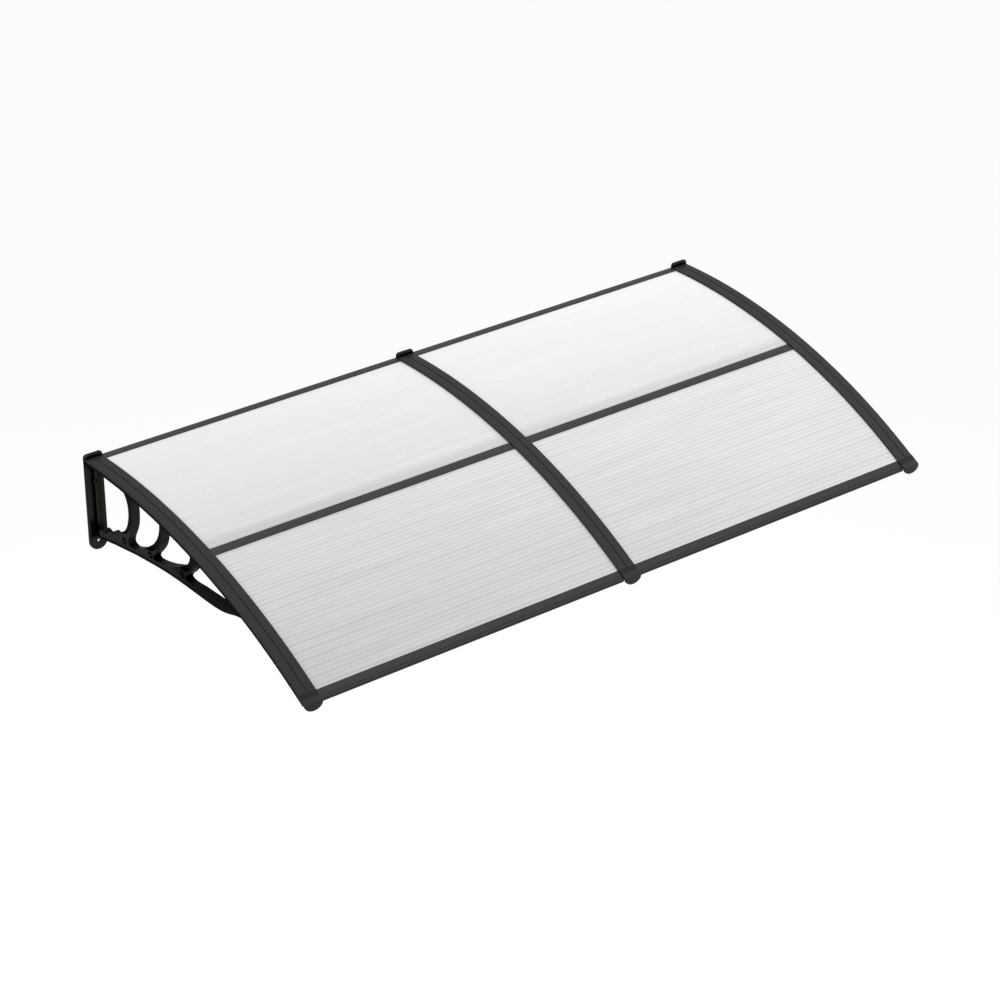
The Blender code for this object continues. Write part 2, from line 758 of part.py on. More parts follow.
def front_section():
    """A slot for the sheets' front edge, with a stepped lip and a round drip bead."""
    inner_top = SHEET_DROP - CLEARANCE
    inner_low = SHEET_DROP + SHEET_THICKNESS + CLEARANCE
    top = inner_top - RAIL_LIP
    back = FRONT_RAIL_WIDTH * 0.7 + SHEET_EDGE_GAP
    step = FRONT_RAIL_WIDTH * 0.66
    bead_end = FRONT_BEAD_DROP - 1.5
    bead = bead_end - (top + 0.7)
    bead_centre = (FRONT_RAIL_WIDTH - bead, bead_end)
    return [
        (0, top),
        (step, top),
        (step + 0.5, top + 0.9),
        (step + 1.0, top + 0.7),
        *[
            (forward, 2 * bead_centre[1] - drop)
            for forward, drop in round_corner(bead_centre, bead, 90, 0, 5)
        ],
        (FRONT_RAIL_WIDTH - 1.5, FRONT_BEAD_DROP),
        (back + 1.5, FRONT_BEAD_DROP),
        (back, inner_low + RAIL_LIP),
        (0, inner_low + RAIL_LIP),
        (0, inner_low),
        (back, inner_low),
        (back, inner_top),
        (0, inner_top),
    ]


def rear_outline():
    """The rear bar in (y, z): a wall leg, a lip that falls to the sheet and a lower lip."""
    back = -SEAL_THICKNESS - CLEARANCE
    front = -REAR_RAIL_DEPTH
    web = back - RAIL_WEB
    high = CREST_Z - REAR_RAIL_RISE
    sheet_top = arc_point(SHEET_DROP - CLEARANCE, arc_length_at(front))[1]
    sheet_low = arc_point(SHEET_DROP + SHEET_THICKNESS, arc_length_at(web))[1] - CLEARANCE
    low = high - REAR_RAIL_HEIGHT
    return [
        (back, high),
        (web, high),
        (front, sheet_top + RAIL_LIP),
        (front, sheet_top),
        (web, high - RAIL_LIP - 1.0),
        (web, sheet_low),
        (front, sheet_low),
        (front, sheet_low - RAIL_LIP),
        (web, sheet_low - RAIL_LIP),
        (web, low),
        (back, low),
    ]


def make_rails():
    """The rear, middle and front bars of both bays, and the seal behind each rear bar."""
    strip_end = STRIP_WIDTH / 2 + CLEARANCE
    cap_end = STRIP_WIDTH / 2 + CAP_OVERSIZE + CLEARANCE
    plate_end = PLATE_WIDTH / 2 + CLEARANCE
    middle = MIDDLE_RAIL_START + MIDDLE_RAIL_WIDTH / 2
    seal_top = CREST_Z - REAR_RAIL_RISE - 2.0
    seal = [
        (0, seal_top),
        (-SEAL_THICKNESS, seal_top),
        (-SEAL_THICKNESS, seal_top - SEAL_HEIGHT),
        (0, seal_top - SEAL_HEIGHT),
    ]
    for side, sign in BAY_SIDES.items():
        rail(f"middle_rail_{side}", middle_section(), middle, sign, strip_end)
        rail(f"front_rail_{side}", front_section(), FRONT_RAIL_START, sign, cap_end)
        low = min(0, sign * BAY_WIDTH) + plate_end
        high = max(0, sign * BAY_WIDTH) - plate_end
        prism(f"rear_rail_{side}", rear_outline(), low, high, "X", ANODISED)
        prism(f"wall_seal_{side}", seal, low, high, "X", RUBBER)


def main():
    clear_scene()
    for side, sign in BRACKET_SIDES.items():
        make_bracket(side, sign)
        make_strip(side, sign)
        make_cap(side, sign)
        make_screws(side, sign)
    make_sheets()
    make_rails()


main()
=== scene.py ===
"""Door canopy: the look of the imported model, its studio and its camera.

Three moulded brackets carry four twin-wall sheets under cover strips, between dark rails.
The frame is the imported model's own: metres, the wall's face at y = 0, +Z up. Sizes in the
classes are millimetres, as a maker would write them, and become metres in the meshes.
"""

import logging
import math
from dataclasses import dataclass
from enum import Enum

import bmesh
import bpy
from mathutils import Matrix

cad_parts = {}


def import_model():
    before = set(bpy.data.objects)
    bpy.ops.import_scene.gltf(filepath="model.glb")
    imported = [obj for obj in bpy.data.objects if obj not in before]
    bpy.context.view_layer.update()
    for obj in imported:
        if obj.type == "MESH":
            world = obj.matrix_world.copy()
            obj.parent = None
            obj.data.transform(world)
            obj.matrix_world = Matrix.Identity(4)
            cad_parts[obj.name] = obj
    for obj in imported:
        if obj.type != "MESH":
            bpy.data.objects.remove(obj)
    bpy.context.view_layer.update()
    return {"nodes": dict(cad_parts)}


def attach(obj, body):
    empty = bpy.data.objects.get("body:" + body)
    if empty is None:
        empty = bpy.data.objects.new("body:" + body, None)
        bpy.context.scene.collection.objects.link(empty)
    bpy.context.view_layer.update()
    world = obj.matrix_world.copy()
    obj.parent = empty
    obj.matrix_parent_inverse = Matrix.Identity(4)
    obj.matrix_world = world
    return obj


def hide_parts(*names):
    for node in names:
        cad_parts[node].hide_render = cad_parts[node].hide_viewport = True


LOG = logging.getLogger("door_canopy")
MM = 0.001
BODY = "root"
Point = tuple[float, float]
Outline = list[Point]
Place = tuple[float, float, float]
# Where a change starts and where it is complete
Span = tuple[float, float]


class Named(Enum):
    """Places that the model's node names tell apart."""

    @property
    def label(self) -> str:
        """The word that the model's node names use."""
        return self.name.lower()


class Side(Named):
    """The three brackets along the wall, as multiples of the bay's width."""

    LEFT = -1
    CENTRE = 0
    RIGHT = 1


class Bay(Named):
    """The two bays between the brackets."""

    LEFT = -1
    RIGHT = 1


def linear(code: str) -> tuple[float, float, float, float]:
    """Turns an sRGB hex colour into linear red, green, blue and alpha.

    Args:
        code: six hex digits, with or without a leading hash.

    Returns:
        The linear colour, opaque.
    """
    digits = code.lstrip("#")
    channels = []
    for start in (0, 2, 4):
        value = int(digits[start : start + 2], 16) / 255
        channels.append(value / 12.92 if value <= 0.04045 else ((value + 0.055) / 1.055) ** 2.4)
    return (channels[0], channels[1], channels[2], 1.0)


def add_node(
    tree: bpy.types.NodeTree,
    kind: str,
    inputs: dict[str | int, object] | None = None,
    **settings: object,
) -> bpy.types.Node:
    """Adds one node, sets it up and links it.

    Args:
        tree: the node tree to add to.
        kind: the node's type name.
        inputs: socket name or number to a value, or to an output socket to link from.
        **settings: the node's own properties.

    Returns:
        The new node.
    """
    node = tree.nodes.new(kind)
    for name, value in settings.items():
        setattr(node, name, value)
    for key, value in (inputs or {}).items():
        if isinstance(value, bpy.types.NodeSocket):
            tree.links.new(value, node.inputs[key])
        else:
            node.inputs[key].default_value = value
    return node


@dataclass(frozen=True)
class RoofCurve:
    """The one circle that the strips, sheets and rails follow, seen along the wall."""

    radius: float = 1741.3
    crest_y: float = -59.65
    crest_z: float = 124.5

    def point(self, drop: float, length: float) -> Point:
        """Finds a place under the curve.

        Args:
            drop: radial distance below the roof's top.
            length: arc length forward of the crest.

        Returns:
            The place as (y, z).
        """
        angle = length / self.radius
        reach = self.radius - drop
        y = self.crest_y - reach * math.sin(angle)
        return (y, self.crest_z - self.radius + reach * math.cos(angle))

    def length_at(self, y: float) -> float:
        """The arc length forward of the crest at a distance along Y."""
        return self.radius * math.asin((self.crest_y - y) / self.radius)


@dataclass(frozen=True)
class Layout:
    """Sizes that more than one sub-assembly follows."""

    bay_width: float = 950.0
    strip_width: float = 50.2
    plate_thickness: float = 5.3
    plate_width: float = 52.4
    clearance: float = 0.3
    sheet_drop: float = 6.0
    sheet_thickness: float = 4.0
    cap_start: float = 903.4
    cap_length: float = 31.0
    cap_step: float = 0.5
    cap_oversize: float = 0.6
    sheet_gap: float = 0.5
    shading_angle: float = 38.0
    real_edge_angle: float = 35.0
    weld: float = 0.02


CURVE = RoofCurve()
LAYOUT = Layout()


def steps_between(start: float, end: float, step: float) -> list[float]:
    """Evenly spaced values.

    Args:
        start: the first value.
        end: the last value.
        step: the most between two neighbours.

    Returns:
        The values, both ends included.
    """
    count = max(1, math.ceil(abs(end - start) / step))
    return [start + (end - start) * i / count for i in range(count + 1)]


def filleted(
    outline: Outline, radius: float, steps: int = 3, flattest: float = 150.0, most: float = 0.42
) -> Outline:
    """Rounds each corner of a closed outline.

    Args:
        outline: the corners, in order.
        radius: the round's radius, less where the sides are too short for it.
        steps: how many chords make up one round.
        flattest: the angle in degrees from which a corner stays as it is.
        most: the share of a side that one round may take.

    Returns:
        The rounded outline.
    """
    found: Outline = []
    count = len(outline)
    for i, corner in enumerate(outline):
        before, after = outline[i - 1], outline[(i + 1) % count]
        to_before = (before[0] - corner[0], before[1] - corner[1])
        to_after = (after[0] - corner[0], after[1] - corner[1])
        span_before, span_after = math.hypot(*to_before), math.hypot(*to_after)
        cosine = (to_before[0] * to_after[0] + to_before[1] * to_after[1]) / (
            span_before * span_after
        )
        opening = math.acos(max(-1.0, min(1.0, cosine)))
        if opening > math.radians(flattest):
            found.append(corner)
            continue
        setback = min(radius / math.tan(opening / 2), most * span_before, most * span_after)
        first = (
            corner[0] + to_before[0] / span_before * setback,
            corner[1] + to_before[1] / span_before * setback,
        )
        last = (
            corner[0] + to_after[0] / span_after * setback,
            corner[1] + to_after[1] / span_after * setback,
        )
        for k in range(steps + 1):
            t = k / steps
            found.append(
                (
                    (1 - t) ** 2 * first[0] + 2 * t * (1 - t) * corner[0] + t**2 * last[0],
                    (1 - t) ** 2 * first[1] + 2 * t * (1 - t) * corner[1] + t**2 * last[1],
                )
            )
    return found


def mesh_from_rings(name: str, rings: list[list[Place]]) -> bpy.types.Object:
    """Skins a row of matching rings and closes both ends.

    Args:
        name: the new object's name.
        rings: points in millimetres, as many in each ring.

    Returns:
        The new object, in metres.
    """
    bm = bmesh.new()
    loops = [[bm.verts.new([value * MM for value in place]) for place in ring] for ring in rings]
    count = len(loops[0])
    for near, far in zip(loops, loops[1:]):
        for i in range(count):
            j = (i + 1) % count
            bm.faces.new((near[i], near[j], far[j], far[i]))
    bm.faces.new(loops[0])
    bm.faces.new(loops[-1])
    bmesh.ops.recalc_face_normals(bm, faces=bm.faces)
    mesh = bpy.data.meshes.new(name)
    bm.to_mesh(mesh)
    bm.free()
    mesh.shade_smooth()
    mesh.set_sharp_from_angle(angle=math.radians(LAYOUT.shading_angle))
    made = bpy.data.objects.new(name, mesh)
    bpy.context.scene.collection.objects.link(made)
    return made


def arc_bar(
    name: str, section: Outline, lengths: list[float], middle_x: float
) -> bpy.types.Object:
    """Sweeps an (x, drop) section along the roof's curve.

    Args:
        name: the new object's name.
        section: the closed section.
        lengths: arc lengths to sweep through.
        middle_x: where the section's x is measured from.

    Returns:
        The swept object.
    """
    rings = [
        [(middle_x + x, *CURVE.point(drop, length)) for x, drop in section] for length in lengths
    ]
    return mesh_from_rings(name, rings)


def settle(
    piece: bpy.types.Object, nodes: tuple[str, ...], finish: bpy.types.Material
) -> None:
    """Puts a finished piece on the frame in place of the nodes that it stands for.

    Args:
        piece: the visible object.
        nodes: the model's nodes that it replaces.
        finish: the material.
    """
    piece.data.materials.clear()
    piece.data.materials.append(finish)
    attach(piece, BODY)
    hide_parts(*nodes)
    LOG.info("%s stands for %s", piece.name, ", ".join(nodes))


def baked(piece: bpy.types.Object) -> bpy.types.Object:
    """Applies an object's modifiers, so that only its mesh is left.

    Args:
        piece: the object.

    Returns:
        The same object.
    """
    graph = bpy.context.evaluated_depsgraph_get()
    mesh = bpy.data.meshes.new_from_object(piece.evaluated_get(graph))
    piece.modifiers.clear()
    piece.data = mesh
    mesh.shade_smooth()
    mesh.set_sharp_from_angle(angle=math.radians(LAYOUT.shading_angle))
    return piece


def joined(first: bpy.types.Object, second: bpy.types.Object) -> bpy.types.Object:
    """Fuses two closed objects into one skin.

    Args:
        first: the object that is kept.
        second: the object that is used up.

    Returns:
        The first object with the union's mesh.
    """
    union = first.modifiers.new("union", "BOOLEAN")
    union.operation = "UNION"
    union.object = second
    union.solver = "EXACT"
    baked(first)
    bpy.data.objects.remove(second)
    return first


@dataclass(frozen=True)
class Finish:
    """What every finish has: a name, and a material that starts plain."""

    name: str

    def start(self) -> tuple[bpy.types.Material, bpy.types.Node, bpy.types.NodeSocket]:
        """Makes the plain material.

        Returns:
            The material, its shader and the object's own coordinates.
        """
        made = bpy.data.materials.new(self.name)
        made.use_nodes = True
        shader = made.node_tree.nodes["Principled BSDF"]
        place = add_node(made.node_tree, "ShaderNodeTexCoord").outputs["Object"]
        return (made, shader, place)


@dataclass(frozen=True)
class MouldedPolypropylene(Finish):
    """Glass-filled polypropylene, injection moulded in a spark-eroded tool.

    The eye sees a soft black with a fine pebble grain and a broad dull sheen; its corners carry
    painted shade. The values here are those of the strips and caps.
    """

    body: str = "#383837"
    worn: str = "#3c3c3b"
    # The colour of the painted shade in the corners.
    shadow: str = "#111111"
    roughness: float = 0.42
    # How far the flow marks take the roughness down and up.
    roughness_spread: Span = (-0.05, 0.07)
    ior: float = 1.49
    # The spark grain breaks most of the sheen up, so the plastic reads matte.
    specular: float = 0.05
    flow_mm: float = 60.0
    # The real spark grain is about 0.2 mm, too fine to show, so it is drawn at 1.6 mm.
    grain_mm: float = 1.6
    grain_depth_mm: float = 0.03
    # How far the painted corner shade reaches, and the share of open surroundings over which it
    # fades.
    corner_shade_reach_mm: float = 3.0
    corner_shade_opening: Span = (0.66, 0.92)
    # Matched to the photograph, which shows the strips darker towards the wall.
    wall_share: float = 0.66
    wall_reach_mm: float = 600.0

    def light_left(
        self,
        tree: bpy.types.NodeTree,
        place: bpy.types.NodeSocket,
        corners: bpy.types.NodeSocket,
    ) -> bpy.types.NodeSocket:
        """The light that the painted corner shade leaves: a strip or cap keeps all of it."""
        return corners

    def tone_share(
        self, tree: bpy.types.NodeTree, place: bpy.types.NodeSocket
    ) -> bpy.types.NodeSocket:
        """Makes the plastic darker towards the wall.

        Args:
            tree: the material's nodes.
            place: the object's own coordinates.

        Returns:
            The share of its tone that the plastic shows.
        """
        parts = add_node(tree, "ShaderNodeSeparateXYZ", {0: place})
        share = add_node(
            tree,
            "ShaderNodeMapRange",
            {
                "Value": parts.outputs["Y"],
                1: 0.0,
                2: -self.wall_reach_mm * MM,
                3: self.wall_share,
                4: 1.0,
            },
            interpolation_type="SMOOTHSTEP",
        )
        return share.outputs[0]

    def build(self) -> bpy.types.Material:
        """Makes the material."""
        made, shader, place = self.start()
        tree = made.node_tree
        flow = add_node(
            tree,
            "ShaderNodeTexNoise",
            {"Vector": place, "Scale": 1000 / self.flow_mm, "Detail": 3.0, "Roughness": 0.55},
        )
        tone = add_node(
            tree,
            "ShaderNodeMix",
            {0: flow.outputs["Fac"], 6: linear(self.body), 7: linear(self.worn)},
            data_type="RGBA",
        )
        shared = add_node(
            tree,
            "ShaderNodeVectorMath",
            {0: tone.outputs[2], "Scale": self.tone_share(tree, place)},
            operation="SCALE",
        )
        # Painted shade in the corners, where near surfaces close them in.
        corner = add_node(
            tree,
            "ShaderNodeAmbientOcclusion",
            {"Distance": self.corner_shade_reach_mm * MM},
            samples=12,
        )
        closed, free = self.corner_shade_opening
        corner_light_kept = add_node(
            tree,
            "ShaderNodeMapRange",
            {"Value": corner.outputs["AO"], 1: closed, 2: free, 3: 0.0, 4: 1.0},
            interpolation_type="SMOOTHSTEP",
        )
        colour = add_node(
            tree,
            "ShaderNodeMix",
            {
                0: self.light_left(tree, place, corner_light_kept.outputs[0]),
                6: linear(self.shadow),
                7: shared.outputs[0],
            },
            data_type="RGBA",
        )
        tree.links.new(colour.outputs[2], shader.inputs["Base Color"])
        grain = add_node(
            tree,
            "ShaderNodeTexNoise",
            {"Vector": place, "Scale": 1000 / self.grain_mm, "Detail": 2.0, "Roughness": 0.6},
        )
        bump = add_node(
            tree,
            "ShaderNodeBump",
            {
                "Height": grain.outputs["Fac"],
                "Distance": self.grain_depth_mm * MM,
                "Strength": 0.5,
            },
        )
        tree.links.new(bump.outputs["Normal"], shader.inputs["Normal"])
        sheen = add_node(
            tree,
            "ShaderNodeMapRange",
            {
                "Value": flow.outputs["Fac"],
                3: self.roughness + self.roughness_spread[0],
                4: self.roughness + self.roughness_spread[1],
            },
        )
        tree.links.new(sheen.outputs[0], shader.inputs["Roughness"])
        shader.inputs["IOR"].default_value = self.ior
        shader.inputs["Specular IOR Level"].default_value = self.specular
        return made


@dataclass(frozen=True)
class BracketPolypropylene(MouldedPolypropylene):
    """The same plastic on the brackets, blacker and with hardly any sheen.

    The tones of its faces are matched to the photograph and carry painted light and shade:
    faces that look out from the wall and the plate's lip are painted lighter, tops and the
    arm's tip darker, and the sides of the web, ledge and scrolls and the plate's foot carry
    painted shade. They follow the place on the bracket and the way that a face looks,
    whatever the camera does.
    """

    body: str = "#2a2a27"
    worn: str = "#2f2f2c"
    # The colour of the painted shade.
    shadow: str = "#050505"
    roughness: float = 0.46
    specular: float = 0.01
    corner_shade_reach_mm: float = 24.0
    # The share of the tone on faces that look along the wall, out from it and up, at the arm's
    # tip and on the lip at the plate's top: painted light and shade. Faces out from the wall and
    # the lip are painted lighter, tops and the tip darker.
    side_light_share: float = 1.15
    front_light_share: float = 2.15
    top_light_share: float = 0.46
    tip_light_share: float = 0.75
    lip_light_share: float = 2.2
    # The normal's part over which a face starts to count as one that looks out, up or aside.
    front_turn: Span = (-0.2, -0.85)
    up_turn: Span = (0.4, 0.8)
    side_turn: Span = (0.5, 0.8)
    tip_y_mm: Span = (-400.0, -540.0)
    lip_z_mm: Span = (118.0, 126.0)
    # The shade on the sides of the web, by the distance from its middle, and on those of the
    # ledge and the scrolls, by the drop below the roof.
    web_dark: float = 0.9
    web_off_mm: Span = (5.5, 8.0)
    ledge_dark: float = 1.0
    ledge_drop_mm: Span = (14.0, 13.0)
    scroll_dark: float = 0.72
    scroll_drop_mm: Span = (128.0, 104.0)
    # The shaded patch on the wall plate's foot. Each limit says where its shade starts and
    # where it is full.
    foot_dark: float = 0.95
    foot_right_mm: Span = (4.0, 1.0)
    foot_left_mm: Span = (-23.0, -19.0)
    foot_top_mm: Span = (-38.0, -58.0)
    foot_low_mm: Span = (-101.0, -94.0)
    foot_out_mm: Span = (-9.0, -6.5)

    def side_shade(
        self,
        tree: bpy.types.NodeTree,
        parts: bpy.types.Node,
        across: bpy.types.NodeSocket,
    ) -> bpy.types.NodeSocket:
        """Shades the sides of the web, the ledge and the scrolls.

        Args:
            tree: the material's nodes.
            parts: the node that splits the place into X, Y and Z.
            across: the way from the bracket's middle along the wall.

        Returns:
            How dark the place is, from 0 to 1.
        """
        off_middle = add_node(tree, "ShaderNodeMath", {0: across}, operation="ABSOLUTE")
        web = add_node(
            tree,
            "ShaderNodeMapRange",
            {
                "Value": off_middle.outputs[0],
                1: self.web_off_mm[0] * MM,
                2: self.web_off_mm[1] * MM,
                3: self.web_dark,
                4: 0.0,
            },
            interpolation_type="SMOOTHSTEP",
        )
        flat = add_node(
            tree, "ShaderNodeCombineXYZ", {1: parts.outputs["Y"], 2: parts.outputs["Z"]}
        )
        reach = add_node(
            tree,
            "ShaderNodeVectorMath",
            {
                0: flat.outputs[0],
                1: (0.0, CURVE.crest_y * MM, (CURVE.crest_z - CURVE.radius) * MM),
            },
            operation="DISTANCE",
        )
        deepest = web.outputs[0]
        for (start, full), dark in (
            (self.ledge_drop_mm, self.ledge_dark),
            (self.scroll_drop_mm, self.scroll_dark),
        ):
            stretch = add_node(
                tree,
                "ShaderNodeMapRange",
                {
                    "Value": reach.outputs["Value"],
                    1: (CURVE.radius - start) * MM,
                    2: (CURVE.radius - full) * MM,
                    3: 0.0,
                    4: dark,
                },
            )
            deepest = add_node(
                tree, "ShaderNodeMath", {0: deepest, 1: stretch.outputs[0]}, operation="MAXIMUM"
            ).outputs[0]
        facing = add_node(
            tree,
            "ShaderNodeSeparateXYZ",
            {0: add_node(tree, "ShaderNodeTexCoord").outputs["Normal"]},
        )
        sideways = add_node(
            tree, "ShaderNodeMath", {0: facing.outputs["X"]}, operation="ABSOLUTE"
        )
        start, full = self.side_turn
        steep = add_node(
            tree,
            "ShaderNodeMapRange",
            {"Value": sideways.outputs[0], 1: start, 2: full, 3: 0.0, 4: 1.0},
        )
        shade = add_node(
            tree, "ShaderNodeMath", {0: deepest, 1: steep.outputs[0]}, operation="MULTIPLY"
        )
        return shade.outputs[0]

    def foot_shade(
        self,
        tree: bpy.types.NodeTree,
        parts: bpy.types.Node,
        across: bpy.types.NodeSocket,
    ) -> bpy.types.NodeSocket:
        """Shades a patch on the wall plate's foot.

        Args:
            tree: the material's nodes.
            parts: the node that splits the place into X, Y and Z.
            across: the way from the bracket's middle along the wall.

        Returns:
            How dark the place is, from 0 to 1.
        """
        shade = self.foot_dark
        for measure, (start, full), change in (
            (across, self.foot_right_mm, "LINEAR"),
            (across, self.foot_left_mm, "LINEAR"),
            (parts.outputs["Z"], self.foot_top_mm, "SMOOTHSTEP"),
            (parts.outputs["Z"], self.foot_low_mm, "SMOOTHSTEP"),
            (parts.outputs["Y"], self.foot_out_mm, "LINEAR"),
        ):
            inside = add_node(
                tree,
                "ShaderNodeMapRange",
                {"Value": measure, 1: start * MM, 2: full * MM, 3: 0.0, 4: 1.0},
                interpolation_type=change,
            )
            shade = add_node(
                tree, "ShaderNodeMath", {0: shade, 1: inside.outputs[0]}, operation="MULTIPLY"
            ).outputs[0]
        return shade

    def light_left(
        self,
        tree: bpy.types.NodeTree,
        place: bpy.types.NodeSocket,
        corners: bpy.types.NodeSocket,
    ) -> bpy.types.NodeSocket:
        """Takes light away from the bracket's inner sides and from the plate's foot.

        Args:
            tree: the material's nodes.
            place: the object's own coordinates.
            corners: the light that the painted corner shade leaves.

        Returns:
            The light that is left.
        """
        parts = add_node(tree, "ShaderNodeSeparateXYZ", {0: place})
        bay = LAYOUT.bay_width * MM
        across = add_node(
            tree,
            "ShaderNodeMath",
            {0: parts.outputs["X"], 1: bay / 2, 2: -bay / 2},
            operation="WRAP",
        ).outputs[0]
        dark = add_node(
            tree,
            "ShaderNodeMath",
            {0: self.side_shade(tree, parts, across), 1: self.foot_shade(tree, parts, across)},
            operation="MAXIMUM",
        )
        bright = add_node(
            tree, "ShaderNodeMath", {0: 1.0, 1: dark.outputs[0]}, operation="SUBTRACT"
        )
        kept = add_node(
            tree, "ShaderNodeMath", {0: corners, 1: bright.outputs[0]}, operation="MULTIPLY"
        )
        return kept.outputs[0]

    def tone_share(
        self, tree: bpy.types.NodeTree, place: bpy.types.NodeSocket
    ) -> bpy.types.NodeSocket:
        """Paints light and shade by the way that a face looks, and on the arm's tip and the
        plate's lip.

        Args:
            tree: the material's nodes.
            place: the object's own coordinates.

        Returns:
            The share of its tone that the plastic shows.
        """
        facing = add_node(
            tree,
            "ShaderNodeSeparateXYZ",
            {0: add_node(tree, "ShaderNodeTexCoord").outputs["Normal"]},
        )
        parts = add_node(tree, "ShaderNodeSeparateXYZ", {0: place})
        share = 1.0
        for measure, (start, full), unit, before, after in (
            (facing.outputs["Y"], self.front_turn, 1.0, self.side_light_share, self.front_light_share),
            (facing.outputs["Z"], self.up_turn, 1.0, 1.0, self.top_light_share),
            (parts.outputs["Y"], self.tip_y_mm, MM, 1.0, self.tip_light_share),
            (parts.outputs["Z"], self.lip_z_mm, MM, 1.0, self.lip_light_share),
        ):
            stretch = add_node(
                tree,
                "ShaderNodeMapRange",
                {"Value": measure, 1: start * unit, 2: full * unit, 3: before, 4: after},
            )
            share = add_node(
                tree, "ShaderNodeMath", {0: share, 1: stretch.outputs[0]}, operation="MULTIPLY"
            ).outputs[0]
        return share


@dataclass(frozen=True)
class AnodisedAluminium(Finish):
    """Extruded aluminium, drawn through a die and anodised dark grey.

    The eye sees a satin metal with faint lines along its length and a soft long highlight.
    """

    body: str = "#464646"
    streak: str = "#3d3d3e"
    roughness: float = 0.42
    roughness_spread: float = 0.06
    metallic: float = 0.85
    # Die lines are some 0.1 mm apart, so they are drawn at 1.3 mm to show.
    line_mm: float = 1.3
    line_length_mm: float = 220.0
    line_depth_mm: float = 0.02
    # Painted shade on the front bar's round bead, which faces out from the wall, matched to the
    # photograph that shows it darker than its lip: the shade's share of the tone, and the
    # normal's part along Y over which it starts.
    bead_shade_share: float = 0.62
    bead_turn: Span = (-0.58, -0.72)

    def build(self) -> bpy.types.Material:
        """Makes the material."""
        made, shader, place = self.start()
        tree = made.node_tree
        stretched = add_node(
            tree,
            "ShaderNodeMapping",
            {
                "Vector": place,
                "Scale": (
                    1000 / self.line_length_mm,
                    1000 / self.line_mm,
                    1000 / self.line_mm,
                ),
            },
        )
        lines = add_node(
            tree,
            "ShaderNodeTexNoise",
            {"Vector": stretched.outputs["Vector"], "Scale": 1.0, "Detail": 3.0},
        )
        tone = add_node(
            tree,
            "ShaderNodeMix",
            {0: lines.outputs["Fac"], 6: linear(self.streak), 7: linear(self.body)},
            data_type="RGBA",
        )
        facing = add_node(
            tree,
            "ShaderNodeSeparateXYZ",
            {0: add_node(tree, "ShaderNodeTexCoord").outputs["Normal"]},
        )
        start, full = self.bead_turn
        share = add_node(
            tree,
            "ShaderNodeMapRange",
            {"Value": facing.outputs["Y"], 1: start, 2: full, 3: 1.0, 4: self.bead_shade_share},
        )
        scaled = add_node(
            tree,
            "ShaderNodeVectorMath",
            {0: tone.outputs[2], "Scale": share.outputs[0]},
            operation="SCALE",
        )
        tree.links.new(scaled.outputs[0], shader.inputs["Base Color"])
        sheen = add_node(
            tree,
            "ShaderNodeMapRange",
            {
                "Value": lines.outputs["Fac"],
                3: self.roughness - self.roughness_spread,
                4: self.roughness + self.roughness_spread,
            },
        )
        tree.links.new(sheen.outputs[0], shader.inputs["Roughness"])
        bump = add_node(
            tree,
            "ShaderNodeBump",
            {
                "Height": lines.outputs["Fac"],
                "Distance": self.line_depth_mm * MM,
                "Strength": 0.35,
            },
        )
        tree.links.new(bump.outputs["Normal"], shader.inputs["Normal"])
        shader.inputs["Metallic"].default_value = self.metallic
        return made


